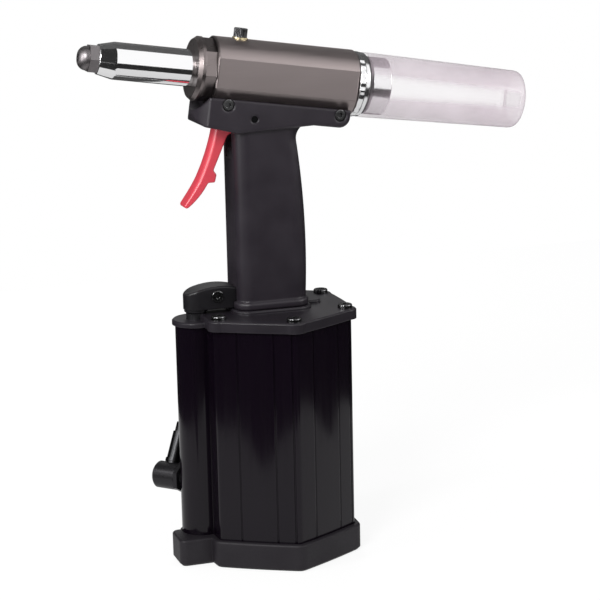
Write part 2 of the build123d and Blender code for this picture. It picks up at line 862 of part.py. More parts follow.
# Handle: grip, foot bead and saddle in one casting, bored for the tube, rod and trigger
tilt_slope = sin(radians(head_tilt)) / cos(radians(head_tilt))
flange_start = head_point(0, saddle_rear_t + free_gap)
throat_z = flange_start.Z - tilt_slope * (grip_throat_x - flange_start.X)
flange_z = flange_start.Z - tilt_slope * (grip_flange_x - flange_start.X)
with BuildPart() as handle:
    with BuildSketch(Plane.XZ):
        with BuildLine():
            back = ThreePointArc(
                (grip_foot_rear_x, foot_z), (grip_belly_x, grip_belly_z), (grip_neck_x, grip_neck_z)
            )
            TangentArc(back @ 1, (grip_throat_x, throat_z), tangent=back % 1)
            Line((grip_throat_x, throat_z), (grip_flange_x, flange_z))
            Line((grip_flange_x, flange_z), (grip_flange_x, grip_top_z))
            Line((grip_flange_x, grip_top_z), (grip_front_x, grip_top_z))
            Line((grip_front_x, grip_top_z), (grip_front_x, foot_z))
            Line((grip_front_x, foot_z), (grip_foot_rear_x, foot_z))
        make_face()
    extrude(amount=grip_half_width, both=True)
    long_edges = handle.edges().filter_by(
        lambda edge: abs(edge.center().Y) > grip_half_width / 2
        and foot_z + 1 < edge.center().Z < grip_top_z - 1
        and edge.center().X < grip_flange_x - 1
    )
    fillet(long_edges, grip_corner_r)
    add(saddle.part)
    add(foot_bead.part)
    add(head_outline(saddle_front_s - 1, seat_gap))
    extrude(amount=saddle_rear_s - saddle_front_s + 2, dir=head_back, mode=Mode.SUBTRACT)
    revolve(
        band(head_side, saddle_front_s - 1, head_front_s, 0, head_r + cradle_step),
        axis=head_axis,
        mode=Mode.SUBTRACT,
    )
    with BuildSketch(Plane.XY.offset(foot_z)):
        Circle(oil_tube_r + seat_gap)
    extrude(amount=oil_neck_top_z - foot_z, mode=Mode.SUBTRACT)
    with BuildSketch(Plane.XY.offset(rocker_slot_low_z)):
        with Locations((rod_x, 0)):
            Circle(rod_r + free_gap)
    extrude(amount=trigger_shoulder[1] - rocker_slot_low_z, mode=Mode.SUBTRACT)
    window_x = grip_front_x - 2 * bead_grow
    window_length = rod_x + 2 * rod_r - window_x
    with BuildSketch(Plane.XY.offset(rocker_slot_low_z)):
        with Locations((window_x + window_length / 2, 0)):
            Rectangle(window_length, 2 * chest_slot_half_width)
    extrude(amount=rocker_slot_high_z - rocker_slot_low_z, mode=Mode.SUBTRACT)
    with BuildSketch(Plane.XZ):
        with BuildLine():
            Polyline(*trigger_slot, close=True)
        make_face()
    extrude(amount=trigger_half_width + slot_gap, both=True, mode=Mode.SUBTRACT)
    with BuildSketch(Plane.XZ):
        with Locations((trigger_pivot.X, trigger_pivot.Z)):
            Circle(trigger_pin_r + fit_gap)
    extrude(amount=saddle_half_width, both=True, mode=Mode.SUBTRACT)
    for screw_s in saddle_screw_s:
        for side in (-1, 1):
            seat = head_point(screw_s, saddle_screw_t, side * saddle_half_width)
            with BuildSketch(Plane(seat, x_dir=head_back, z_dir=(0, -side, 0))):
                Circle(saddle_screw_head_r + seat_gap)
            extrude(amount=saddle_screw_sink, mode=Mode.SUBTRACT)
            with BuildSketch(Plane(seat, x_dir=head_back, z_dir=(0, -side, 0))):
                Circle(saddle_screw_r + seat_gap)
            extrude(amount=saddle_half_width, mode=Mode.SUBTRACT)

# Four socket screws that hold the head in the saddle
with BuildPart() as saddle_screws:
    for screw_s in saddle_screw_s:
        for side in (-1, 1):
            seat_y = saddle_half_width - saddle_screw_sink
            seat = head_point(screw_s, saddle_screw_t, side * seat_y)
            outer = head_point(screw_s, saddle_screw_t, side * (seat_y + saddle_screw_head_height))
            with BuildSketch(Plane(seat, x_dir=head_back, z_dir=(0, side, 0))):
                Circle(saddle_screw_head_r)
            extrude(amount=saddle_screw_head_height)
            with BuildSketch(Plane(outer, x_dir=head_back, z_dir=(0, -side, 0))):
                RegularPolygon(saddle_screw_key_flats / 2, 6, major_radius=False)
            extrude(amount=saddle_screw_head_height / 2, mode=Mode.SUBTRACT)
            with BuildSketch(Plane(seat, x_dir=head_back, z_dir=(0, -side, 0))):
                Circle(saddle_screw_r)
            extrude(amount=seat_y - saddle_screw_tip_y)

# Trigger lever with its eye, and the pin through the saddle
with BuildPart() as trigger:
    with BuildSketch(Plane.XZ):
        with BuildLine():
            ThreePointArc(trigger_shoulder, trigger_front, trigger_tip_front)
            Line(trigger_tip_front, trigger_tip_rear)
            ThreePointArc(trigger_tip_rear, trigger_finger, trigger_nub_low)
            Polyline(trigger_nub_low, trigger_nub, trigger_nub_top, trigger_nub_root)
            ThreePointArc(trigger_nub_root, trigger_back, trigger_heel)
            Line(trigger_heel, (trigger_pivot.X, trigger_pivot.Z - trigger_eye_r))
            Line(
                (trigger_pivot.X, trigger_pivot.Z - trigger_eye_r),
                (trigger_pivot.X, trigger_pivot.Z + trigger_eye_r),
            )
            Line((trigger_pivot.X, trigger_pivot.Z + trigger_eye_r), trigger_shoulder)
        make_face()
        with Locations((trigger_pivot.X, trigger_pivot.Z)):
            Circle(trigger_eye_r)
            Circle(trigger_pin_r + fit_gap, mode=Mode.SUBTRACT)
    extrude(amount=trigger_half_width, both=True)
    blade_edges = trigger.edges().filter_by(
        lambda edge: abs(edge.center().Y) > trigger_half_width / 2
        and edge.center().Z < trigger_heel[1]
        and edge.length > trigger_half_width
    )
    by_length = blade_edges.sort_by(SortBy.LENGTH)
    fillet(by_length[-2:], trigger_front_r)
    rear_edges = trigger.edges().filter_by(
        lambda edge: abs(edge.center().Y) > trigger_half_width - seat_gap
        and trigger_tip_rear[1] < edge.center().Z < trigger_heel[1]
        and edge.center().X > trigger_finger[0]
        and edge.length > trigger_half_width
    )
    fillet(rear_edges, trigger_edge_r)

with BuildPart() as trigger_pin:
    with BuildSketch(Plane.XZ):
        with Locations((trigger_pivot.X, trigger_pivot.Z)):
            Circle(trigger_pin_r)
    extrude(amount=saddle_half_width - pin_recess, both=True)

# Push rod from the trigger's arm down to the rocker
arm_slope = (trigger_pivot.Z - trigger_eye_r - trigger_heel[1]) / (trigger_pivot.X - trigger_heel[0])
rod_top_z = trigger_heel[1] + arm_slope * (rod_x - rod_r - trigger_heel[0]) - rod_gap
with BuildPart() as push_rod:
    with BuildSketch(Plane.XY.offset(rod_foot_z)):
        with Locations((rod_x, 0)):
            Circle(rod_r)
    extrude(amount=rod_top_z - rod_foot_z)

# Valve chest: round-nosed block with a sloping crown and a boss over the duct
chest_rear_x = grip_front_x - bead_grow
chest_front_x = chest_nose_x - chest_half_width
chest_mid_x = (chest_rear_x + chest_nose_x) / 2 - chest_half_width / 2
with BuildPart() as valve_chest:
    with BuildSketch(Plane.XZ):
        with BuildLine():
            ThreePointArc(
                (grip_front_x, chest_top_rear_z),
                (chest_mid_x, chest_top_mid_z),
                (chest_front_x, chest_top_front_z),
            )
            Polyline(
                (chest_front_x, chest_top_front_z),
                (chest_front_x, chest_bottom_z),
                (chest_rear_x, chest_bottom_z),
                (chest_rear_x, foot_z + bead_height + seat_gap),
                (grip_front_x, foot_z + bead_height + seat_gap),
                (grip_front_x, chest_top_rear_z),
            )
        make_face()
    extrude(amount=chest_half_width, both=True)
    with BuildSketch(Plane.XY.offset(chest_bottom_z)):
        with Locations((chest_nose_x, 0)):
            Circle(chest_half_width)
        with Locations(((chest_nose_x + grip_front_x) / 2, 0)):
            Rectangle(grip_front_x - chest_nose_x, 2 * chest_half_width)
    extrude(amount=2 * chest_half_width, mode=Mode.INTERSECT)
    crown = valve_chest.faces().sort_by(Axis.Z)[-1]
    fillet(crown.edges().filter_by(lambda edge: edge.center().X < chest_rear_x), chest_edge_r)
    with BuildSketch(Plane.XY.offset(chest_boss_z)):
        with Locations((duct_x, 0)):
            Circle(chest_boss_r)
    extrude(amount=chest_bottom_z - chest_boss_z)
    chamfer(valve_chest.edges().group_by(Axis.Z)[0], chest_boss_chamfer)
    with BuildSketch(Plane.XY.offset(chest_boss_z)):
        with Locations((duct_x, 0)):
            Circle(chest_bore_r)
    extrude(amount=chest_ceiling_z - chest_boss_z, mode=Mode.SUBTRACT)
    slot_length = grip_front_x - duct_x
    with BuildSketch(Plane.XY.offset(rocker_slot_low_z)):
        with Locations((duct_x + slot_length / 2, 0)):
            Rectangle(slot_length, 2 * chest_slot_half_width)
    extrude(amount=rocker_slot_high_z - rocker_slot_low_z, mode=Mode.SUBTRACT)
    with BuildSketch(Plane.XZ):
        with Locations((rocker_x, rocker_z)):
            Circle(rocker_pin_r + fit_gap)
    extrude(amount=chest_half_width, both=True, mode=Mode.SUBTRACT)

# Neck that joins the duct to the chest, and its O-ring
neck_ring_z = (neck_foot_z + cover_lobe_z) / 2
with BuildPart() as valve_neck:
    with BuildSketch(Plane.XY.offset(neck_foot_z)):
        with Locations((duct_x, 0)):
            Circle(neck_r)
    extrude(amount=neck_top_z - neck_foot_z)
    with BuildSketch(Plane.XY.offset(cover_lobe_z)):
        with Locations((duct_x, 0)):
            Circle(neck_flange_r)
    extrude(amount=chest_boss_z - cover_lobe_z)
    with BuildSketch(Plane.XY.offset(neck_ring_z - neck_ring_r - fit_gap)):
        with Locations((duct_x, 0)):
            Circle(neck_r + seat_gap)
            Circle(neck_r - 2 * neck_ring_r, mode=Mode.SUBTRACT)
    extrude(amount=2 * (neck_ring_r + fit_gap), mode=Mode.SUBTRACT)
    with BuildSketch(Plane.XY.offset(neck_foot_z)):
        with Locations((duct_x, 0)):
            Circle(neck_bore_r)
    extrude(amount=neck_top_z - neck_foot_z, mode=Mode.SUBTRACT)

with BuildPart() as neck_o_ring:
    with Locations((duct_x, 0, neck_ring_z)):
        Torus(neck_r - neck_ring_r + fit_gap, neck_ring_r)

# Valve stem with its disc on the neck, its spring, and the rocker that lifts it
stem_disc_z = neck_top_z + free_gap
stem_top_z = stem_head_z + stem_head_height
with BuildPart() as valve_stem:
    for low, high, radius in (
        (stem_disc_z, stem_disc_z + stem_disc_height, stem_disc_r),
        (stem_disc_z, stem_top_z, stem_r),
        (stem_head_z, stem_top_z, stem_disc_r),
    ):
        with BuildSketch(Plane.XY.offset(low)):
            with Locations((duct_x, 0)):
                Circle(radius)
        extrude(amount=high - low)

with BuildPart() as valve_spring:
    add(
        coil_spring(
            Plane((duct_x, 0, stem_top_z)),
            valve_coil_r,
            valve_wire_r,
            chest_ceiling_z - stem_top_z,
            valve_turns,
        )
    )

with BuildPart() as valve_rocker:
    rocker_low_z = rocker_z - rocker_half_height
    rocker_high_z = rocker_z + rocker_half_height
    fork_tip_x = duct_x - rocker_fork_reach
    with BuildSketch(Plane.XZ):
        with BuildLine():
            Polyline(
                (rod_x + rod_r, rocker_low_z),
                (rod_x + rod_r, rocker_high_z),
                (rocker_fork_from_x, rocker_high_z),
                (rocker_fork_from_x - 1, fork_top_z),
                (fork_tip_x, fork_top_z),
                (fork_tip_x, fork_low_z),
                (rocker_x - rocker_half_height - 2, fork_low_z),
                (rocker_x - rocker_half_height, rocker_low_z),
                close=True,
            )
        make_face()
    extrude(amount=rocker_half_width, both=True)
    with BuildSketch(Plane.XY.offset(fork_low_z)):
        with Locations((duct_x, 0)):
            Rectangle(2 * (stem_r + free_gap + 1), 2 * (stem_r + free_gap))
    extrude(amount=rocker_fork_height, mode=Mode.SUBTRACT)
    with BuildSketch(Plane.XZ):
        with Locations((rocker_x, rocker_z)):
            Circle(rocker_pin_r + fit_gap)
    extrude(amount=rocker_half_width, both=True, mode=Mode.SUBTRACT)

with BuildPart() as rocker_pin:
    with BuildSketch(Plane.XZ):
        with Locations((rocker_x, rocker_z)):
            Circle(rocker_pin_r)
    extrude(amount=chest_half_width, both=True)
    with BuildSketch(Plane.XZ.offset(chest_half_width)):
        with Locations((rocker_x, rocker_z)):
            Circle(rocker_pin_head_r)
    extrude(amount=rocker_pin_head_height)
    fillet(rocker_pin.edges().group_by(Axis.Y)[0], rocker_pin_head_height / 3)
    with BuildSketch(Plane.XZ.offset(chest_half_width + rocker_pin_head_height)):
        with Locations((rocker_x, rocker_z)):
            RegularPolygon(rocker_key_flats / 2, 6, major_radius=False)
    extrude(amount=-rocker_key_depth, mode=Mode.SUBTRACT)

# Hydraulic head: stepped bore, oil passage from below and bleed port on top
bleed_spot_t = sqrt(head_r**2 - bleed_spot_r**2) - seat_gap
duct_foot_s = -oil_duct_t * tilt_slope
with BuildPart() as hydraulic_head:
    add(head_outline(head_front_s, 0))
    extrude(amount=head_rear_s - head_front_s, dir=head_back)
    end_edges = hydraulic_head.edges().group_by(head_axis)
    chamfer(end_edges[0] + end_edges[-1], head_edge)
    for start, end, radius in (
        (head_front_s, hyd_bore_s, nose_socket_r),
        (hyd_bore_s, head_rear_s, hyd_bore_r),
    ):
        revolve(band(head_side, start, end, 0, radius), axis=head_axis, mode=Mode.SUBTRACT)
    with BuildSketch(Plane.XY.offset(oil_shoulder_z)):
        Circle(oil_neck_r + fit_gap)
    extrude(amount=oil_neck_top_z + seat_gap - oil_shoulder_z, mode=Mode.SUBTRACT)
    with BuildSketch(head_cross(oil_port_s)):
        with Locations((0, oil_duct_t)):
            Circle(oil_duct_r)
    extrude(amount=duct_foot_s - oil_port_s, mode=Mode.SUBTRACT)
    with BuildSketch(Plane(head_point(oil_port_s, oil_duct_t), x_dir=head_back, z_dir=head_up)):
        Circle(oil_duct_r)
    extrude(amount=hyd_bore_r / 4, mode=Mode.SUBTRACT)
    with BuildSketch(Plane(head_point(oil_port_s, bleed_spot_t), x_dir=head_back, z_dir=head_up)):
        Circle(bleed_spot_r)
    extrude(amount=bleed_spot_r, mode=Mode.SUBTRACT)
    with BuildSketch(Plane(head_point(oil_port_s, 0), x_dir=head_back, z_dir=head_up)):
        Circle(bleed_r + fit_gap)
    extrude(amount=head_r, mode=Mode.SUBTRACT)
    for screw_s in saddle_screw_s:
        for side in (-1, 1):
            tip = head_point(screw_s, saddle_screw_t, side * saddle_screw_tip_y)
            with BuildSketch(Plane(tip, x_dir=head_back, z_dir=(0, side, 0))):
                Circle(saddle_screw_r + fit_gap)
            extrude(amount=head_half_width, mode=Mode.SUBTRACT)

with BuildPart() as bleed_washer:
    with BuildSketch(Plane(head_point(oil_port_s, bleed_spot_t), x_dir=head_back, z_dir=head_up)):
        Circle(washer_r)
        Circle(bleed_r + fit_gap, mode=Mode.SUBTRACT)
    extrude(amount=washer_thickness)

bleed_seat_t = bleed_spot_t + washer_thickness
with BuildPart() as bleed_screw:
    with BuildSketch(Plane(head_point(oil_port_s, bleed_seat_t), x_dir=head_back, z_dir=head_up)):
        Circle(bleed_head_r)
    extrude(amount=bleed_head_height)
    chamfer(bleed_screw.edges().sort_by(Axis.Z)[-1], bleed_head_height / 10)
    bleed_top = head_point(oil_port_s, bleed_seat_t + bleed_head_height)
    with BuildSketch(Plane(bleed_top, x_dir=head_back, z_dir=head_up)):
        RegularPolygon(bleed_key_flats / 2, 6, major_radius=False)
    extrude(amount=-bleed_key_depth, mode=Mode.SUBTRACT)
    with BuildSketch(Plane(head_point(oil_port_s, bleed_seat_t), x_dir=head_back, z_dir=head_up)):
        Circle(bleed_r)
    extrude(amount=-(bleed_seat_t - hyd_bore_r - seat_gap))

# Front bush of the oil chamber with its rod seal
rod_seal_s = (nose_socket_s + bush_flange_s) / 2
rod_seal_circle = rod_main_r + fit_gap + rod_seal_r
with BuildPart() as rod_bush:
    revolve(
        face_of(
            head_side,
            (nose_socket_s, rod_main_r + fit_gap),
            (bush_flange_s, rod_main_r + fit_gap),
            (bush_flange_s, hyd_bore_r - fit_gap),
            (hyd_bore_s, hyd_bore_r - fit_gap),
            (hyd_bore_s, nose_socket_r - fit_gap),
            (nose_socket_s, nose_socket_r - fit_gap),
        ),
        axis=head_axis,
    )
    revolve(
        band(
            head_side,
            rod_seal_s - rod_seal_r - fit_gap,
            rod_seal_s + rod_seal_r + fit_gap,
            rod_main_r,
            rod_seal_circle + rod_seal_r + fit_gap,
        ),
        axis=head_axis,
        mode=Mode.SUBTRACT,
    )

with BuildPart() as rod_seal:
    revolve(disc_section(head_side, rod_seal_s, rod_seal_circle, rod_seal_r), axis=head_axis)

# Hydraulic piston with its hollow rod and ring
piston_rear_s = piston_front_s + piston_length
piston_ring_s = piston_front_s + piston_length / 2
boss_rear_s = piston_rear_s + piston_boss_length
with BuildPart() as hydraulic_piston:
    revolve(
        face_of(
            head_side,
            (rod_front_s - rod_thread_length, rod_bore_r),
            (piston_rear_s, rod_bore_r),
            (piston_rear_s, guide_r + fit_gap),
            (boss_rear_s, guide_r + fit_gap),
            (boss_rear_s, piston_boss_r),
            (piston_rear_s, piston_boss_r),
            (piston_rear_s, hyd_bore_r - fit_gap),
            (piston_front_s, hyd_bore_r - fit_gap),
            (piston_front_s, rod_main_r),
            (rod_front_s, rod_main_r),
            (rod_front_s, rod_thread_r),
            (rod_front_s - rod_thread_length, rod_thread_r),
        ),
        axis=head_axis,
    )
    revolve(
        band(
            head_side,
            piston_ring_s - piston_ring_r - fit_gap,
            piston_ring_s + piston_ring_r + fit_gap,
            hyd_bore_r - 2 * piston_ring_r - seat_gap,
            hyd_bore_r,
        ),
        axis=head_axis,
        mode=Mode.SUBTRACT,
    )

with BuildPart() as hydraulic_seal:
    ring_circle = hyd_bore_r - fit_gap - piston_ring_r
    revolve(disc_section(head_side, piston_ring_s, ring_circle, piston_ring_r), axis=head_axis)

with BuildPart() as return_spring:
    add(
        coil_spring(
            head_cross(piston_rear_s),
            return_coil_r,
            return_wire_r,
            cap_front_s - piston_rear_s,
            return_turns,
        )
    )

# Tube that guides spent mandrels from the rod to the collector
with BuildPart() as mandrel_guide:
    revolve(band(head_side, piston_rear_s, guide_rear_s, guide_bore_r, guide_r), axis=head_axis)

# Rear cap screwed into the head, with its O-ring
ring_rear_s = head_rear_s + free_gap + vacuum_ring_length
flange_front_s = ring_rear_s + free_gap
with BuildPart() as rear_cap:
    revolve(
        face_of(
            head_side,
            (cap_front_s, guide_hole_r),
            (cap_stud_s, guide_hole_r),
            (cap_stud_s, cap_stud_r),
            (flange_front_s, cap_stud_r),
            (flange_front_s, cap_neck_r),
            (head_rear_s, cap_neck_r),
            (head_rear_s, hyd_bore_r - fit_gap),
            (cap_front_s, hyd_bore_r - fit_gap),
        ),
        axis=head_axis,
    )
    revolve(
        band(
            head_side,
            cap_ring_s - cap_ring_r - fit_gap,
            cap_ring_s + cap_ring_r + fit_gap,
            hyd_bore_r - 2 * cap_ring_r - seat_gap,
            hyd_bore_r,
        ),
        axis=head_axis,
        mode=Mode.SUBTRACT,
    )

with BuildPart() as rear_cap_o_ring:
    ring_circle = hyd_bore_r - fit_gap - cap_ring_r
    revolve(disc_section(head_side, cap_ring_s, ring_circle, cap_ring_r), axis=head_axis)

# Knurled ring that opens the vacuum jet
with BuildPart() as vacuum_ring:
    revolve(
        band(
            head_side,
            head_rear_s + free_gap,
            ring_rear_s,
            cap_neck_r + fit_gap,
            vacuum_ring_r,
        ),
        axis=head_axis,
    )
    rims = vacuum_ring.edges().filter_by(lambda edge: edge.length > 2 * pi * vacuum_ring_r - 1)
    chamfer(rims, vacuum_ring_edge)

# Spigot that carries the collector, with its O-ring
flange_rear_s = flange_front_s + spigot_flange_length
spigot_ring_s = flange_rear_s + 2 * spigot_ring_r
with BuildPart() as collector_spigot:
    revolve(
        face_of(
            head_side,
            (flange_front_s, cap_stud_r + fit_gap),
            (cap_stud_s, cap_stud_r + fit_gap),
            (cap_stud_s, spigot_mouth_r),
            (spigot_rear_s, spigot_mouth_r),
            (spigot_rear_s, spigot_r),
            (flange_rear_s, spigot_r),
            (flange_rear_s, spigot_flange_r),
            (flange_front_s, spigot_flange_r),
        ),
        axis=head_axis,
    )
    revolve(
        band(
            head_side,
            spigot_ring_s - spigot_ring_r - fit_gap,
            spigot_ring_s + spigot_ring_r + fit_gap,
            spigot_r + free_gap - 2 * spigot_ring_r - seat_gap,
            spigot_r + free_gap,
        ),
        axis=head_axis,
        mode=Mode.SUBTRACT,
    )

with BuildPart() as collector_o_ring:
    ring_circle = spigot_r + free_gap - fit_gap - spigot_ring_r
    revolve(disc_section(head_side, spigot_ring_s, ring_circle, spigot_ring_r), axis=head_axis)

# Clear collector that pushes onto the spigot
collector_front_s = flange_rear_s + free_gap
collector_bore_r = spigot_r + free_gap
collector_floor_s = collector_rear_s - collector_base
with BuildPart() as mandrel_collector:
    with BuildSketch(head_side):
        with BuildLine():
            Polyline(
                (collector_rear_s, 0),
                (collector_floor_s, 0),
                (collector_floor_s, collector_end_r - collector_wall),
                (collector_socket_s, collector_bore_r),
                (collector_front_s, collector_bore_r),
                (collector_front_s, collector_front_r),
                (collector_rear_s - collector_corner_r, collector_end_r),
            )
            RadiusArc(
                (collector_rear_s - collector_corner_r, collector_end_r),
                (collector_rear_s, collector_end_r - collector_corner_r),
                collector_corner_r,
            )
            Line((collector_rear_s, collector_end_r - collector_corner_r), (collector_rear_s, 0))
        make_face()
    revolve(axis=head_axis)

# Octagonal collar with a bevelled round lip, which locks the nose housing in the head
with BuildPart() as front_collar:
    revolve(
        face_of(
            head_side,
            (collar_front_s, 0),
            (collar_front_s, collar_front_r),
            (collar_lip_s, collar_lip_r),
            (collar_shoulder_s, collar_lip_r),
            (collar_shoulder_s, 0),
        ),
        axis=head_axis,
    )
    with BuildSketch(head_cross(collar_shoulder_s)):
        RegularPolygon(collar_flats / 2, 8, major_radius=False, rotation=collar_turn)
    extrude(amount=head_front_s - collar_shoulder_s)
    revolve(
        band(head_side, collar_front_s, head_front_s, 0, nose_tail_r + seat_gap),
        axis=head_axis,
        mode=Mode.SUBTRACT,
    )

# Nose housing: polished tube with a tapered front
with BuildPart() as nose_housing:
    revolve(
        face_of(
            head_side,
            (nose_front_s, nose_thread_r),
            (nose_chamber_s, nose_thread_r),
            (nose_chamber_s, nose_bore_r),
            (nose_socket_s, nose_bore_r),
            (nose_socket_s, nose_tail_r),
            (collar_front_s, nose_tail_r),
            (collar_front_s, nose_r),
            (nose_cone_s, nose_r),
            (nose_front_s, nose_front_r),
        ),
        axis=head_axis,
    )

# Nosepiece: hexagon, domed face and the tail that opens the jaws
hex_front_s = nose_front_s - tip_hex_length
tip_front_s = hex_front_s - tip_dome_length
tip_tail_s = nose_front_s + tip_shank_length
dome_mid = (hex_front_s - 0.62 * tip_dome_length, tip_face_r + 0.78 * (tip_dome_r - tip_face_r))
with BuildPart() as nosepiece:
    with BuildSketch(head_cross(hex_front_s)):
        RegularPolygon(tip_flats / 2, 6, major_radius=False)
    extrude(amount=tip_hex_length)
    with BuildSketch(head_side):
        with BuildLine():
            ThreePointArc((tip_front_s, tip_face_r), dome_mid, (hex_front_s, tip_dome_r))
            Polyline(
                (hex_front_s, tip_dome_r),
                (nose_front_s, tip_dome_r),
                (nose_front_s, nose_thread_r - fit_gap),
                (tip_tail_s, nose_thread_r - fit_gap),
                (tip_tail_s, tip_opener_r),
                (tip_tail_s + tip_opener_length, tip_opener_r - seat_gap),
                (tip_tail_s + tip_opener_length, 0),
                (tip_front_s, 0),
                (tip_front_s, tip_face_r),
            )
        make_face()
    revolve(axis=head_axis)
    revolve(
        band(head_side, tip_front_s, tip_tail_s + tip_opener_length, 0, tip_bore_r),
        axis=head_axis,
        mode=Mode.SUBTRACT,
    )

# Jaw case with its inner cone, screwed to the piston rod
case_slope = (case_bore_r - case_mouth_r) / (case_cone_rear_s - case_front_s)
with BuildPart() as jaw_case:
    revolve(
        face_of(
            head_side,
            (case_front_s, case_mouth_r),
            (case_cone_rear_s, case_bore_r),
            (rod_front_s, case_bore_r),
            (rod_front_s, case_r),
            (case_front_s, case_r),
        ),
        axis=head_axis,
    )

# Three toothed jaws, cut from one cone by wedges with slits between them
jaw_front_s = case_front_s + jaw_front_gap
jaw_rear_s = jaw_front_s + jaw_length
jaw_front_r = case_mouth_r + case_slope * jaw_front_gap - free_gap
jaw_rear_r = jaw_front_r + case_slope * jaw_length
with BuildPart() as jaw_cone:
    revolve(
        face_of(
            head_side,
            (jaw_front_s, jaw_lead_r),
            (jaw_front_s + jaw_lead, jaw_bore_r),
            (jaw_rear_s, jaw_bore_r),
            (jaw_rear_s, jaw_rear_r),
            (jaw_front_s, jaw_front_r),
        ),
        axis=head_axis,
    )
    for tooth in range(int((jaw_length - jaw_lead) / jaw_tooth_pitch) - 1):
        groove_s = jaw_front_s + jaw_lead + (tooth + 1) * jaw_tooth_pitch
        revolve(
            face_of(
                head_side,
                (groove_s - jaw_tooth_pitch / 3, jaw_bore_r),
                (groove_s + jaw_tooth_pitch / 3, jaw_bore_r),
                (groove_s, jaw_bore_r + jaw_tooth_depth),
            ),
            axis=head_axis,
            mode=Mode.SUBTRACT,
        )

jaws = []
for index in range(3):
    turn = radians(120 * index)
    reach = 2 * case_r
    apex = jaw_slit / (2 * sin(radians(60)))
    corners = [(apex * cos(turn), apex * sin(turn))]
    for edge in (-60, 60):
        swing = turn + radians(edge)
        corners.append((corners[0][0] + reach * cos(swing), corners[0][1] + reach * sin(swing)))
    with BuildPart() as jaw:
        add(jaw_cone.part)
        with BuildSketch(head_cross(jaw_front_s)):
            with BuildLine():
                Polyline(*corners, close=True)
            make_face()
        extrude(amount=jaw_length, mode=Mode.INTERSECT)
    jaws.append(jaw)

# Pusher behind the jaws and its spring
pusher_front_s = jaw_rear_s + free_gap
pusher_rear_s = pusher_front_s + pusher_length
with BuildPart() as jaw_pusher:
    revolve(
        face_of(
            head_side,
            (pusher_front_s, pusher_bore_r),
            (pusher_rear_s + pusher_tail_length, pusher_bore_r),
            (pusher_rear_s + pusher_tail_length, pusher_tail_r),
            (pusher_rear_s, pusher_tail_r),
            (pusher_rear_s, case_bore_r - free_gap),
            (pusher_front_s + pusher_lead, case_bore_r - free_gap),
            (pusher_front_s, pusher_front_r),
        ),
        axis=head_axis,
    )

with BuildPart() as pusher_spring:
    add(
        coil_spring(
            head_cross(pusher_rear_s),
            pusher_coil_r,
            pusher_wire_r,
            rod_front_s - rod_thread_length - pusher_rear_s,
            pusher_turns,
        )
    )

# Air inlet: hexagon stub in the duct lobe, its O-ring, swivel body and nipple
hex_back = duct_lobe_r + fit_gap
hex_face = hex_back + inlet_hex_length
swivel_front = hex_face + free_gap
journal_end = swivel_front + swivel_length - swivel_cap
nipple_at = swivel_front + nipple_from_front
inlet_ring_at = (swivel_front + nipple_at - nipple_bore_r) / 2
with BuildPart() as inlet_stub:
    with BuildSketch(Plane(inlet_origin + inlet_out * hex_back, x_dir=(0, 0, 1), z_dir=inlet_out)):
        RegularPolygon(inlet_hex_flats / 2, 6, major_radius=False)
    extrude(amount=inlet_hex_length)
    revolve(
        face_of(
            inlet_side,
            (duct_bore_r + seat_gap, 0),
            (journal_end - free_gap, 0),
            (journal_end - free_gap, inlet_journal_r),
            (hex_face, inlet_journal_r),
            (hex_face, inlet_thread_r),
            (duct_bore_r + seat_gap, inlet_thread_r),
        ),
        axis=inlet_axis,
    )
    revolve(
        band(inlet_side, duct_bore_r, journal_end - 2, 0, inlet_bore_r),
        axis=inlet_axis,
        mode=Mode.SUBTRACT,
    )
    revolve(
        band(
            inlet_side,
            inlet_ring_at - inlet_ring_r - fit_gap,
            inlet_ring_at + inlet_ring_r + fit_gap,
            inlet_journal_r - 2 * inlet_ring_r,
            inlet_journal_r + seat_gap,
        ),
        axis=inlet_axis,
        mode=Mode.SUBTRACT,
    )

with BuildPart() as inlet_o_ring:
    ring_circle = inlet_journal_r + fit_gap / 2 - inlet_ring_r
    revolve(disc_section(inlet_side, inlet_ring_at, ring_circle, inlet_ring_r), axis=inlet_axis)

lean = radians(nipple_lean)
nipple_up = Vector(0, 0, cos(lean)) + inlet_out.cross(Vector(0, 0, 1)) * sin(lean)
nipple_root = inlet_origin + inlet_out * nipple_at
nipple_plane = Plane(nipple_root, x_dir=nipple_up, z_dir=inlet_out)
nipple_axis = Axis(nipple_root, nipple_up)
with BuildPart() as inlet_swivel:
    with BuildSketch(inlet_side):
        with BuildLine():
            swivel_end = swivel_front + swivel_length
            Polyline(
                (swivel_end, swivel_face_r),
                (swivel_end, 0),
                (journal_end, 0),
                (journal_end, inlet_journal_r + fit_gap),
                (swivel_front, inlet_journal_r + fit_gap),
                (swivel_front, swivel_r),
                (swivel_end - swivel_dome, swivel_r),
            )
            ThreePointArc(
                (swivel_end - swivel_dome, swivel_r),
                (swivel_end - swivel_dome / 4, swivel_r * 0.72),
                (swivel_end, swivel_face_r),
            )
        make_face()
    revolve(axis=inlet_axis)
    revolve(
        band(nipple_plane, nipple_seat, 2 * swivel_r, 0, nipple_r + fit_gap),
        axis=nipple_axis,
        mode=Mode.SUBTRACT,
    )
    revolve(
        band(nipple_plane, 0, nipple_seat, 0, nipple_bore_r),
        axis=nipple_axis,
        mode=Mode.SUBTRACT,
    )

with BuildPart() as inlet_nipple:
    nipple_end = swivel_r + nipple_length
    groove_end = nipple_end - nipple_groove_length
    revolve(
        face_of(
            nipple_plane,
            (nipple_seat, nipple_bore_r),
            (nipple_end, nipple_bore_r),
            (nipple_end, nipple_tip_r),
            (groove_end, nipple_tip_r),
            (groove_end, nipple_r),
            (swivel_r + seat_gap + nipple_collar_length, nipple_r),
            (swivel_r + seat_gap + nipple_collar_length, nipple_collar_r),
            (swivel_r + seat_gap, nipple_collar_r),
            (swivel_r + seat_gap, nipple_r),
            (nipple_seat, nipple_r),
        ),
        axis=nipple_axis,
    )

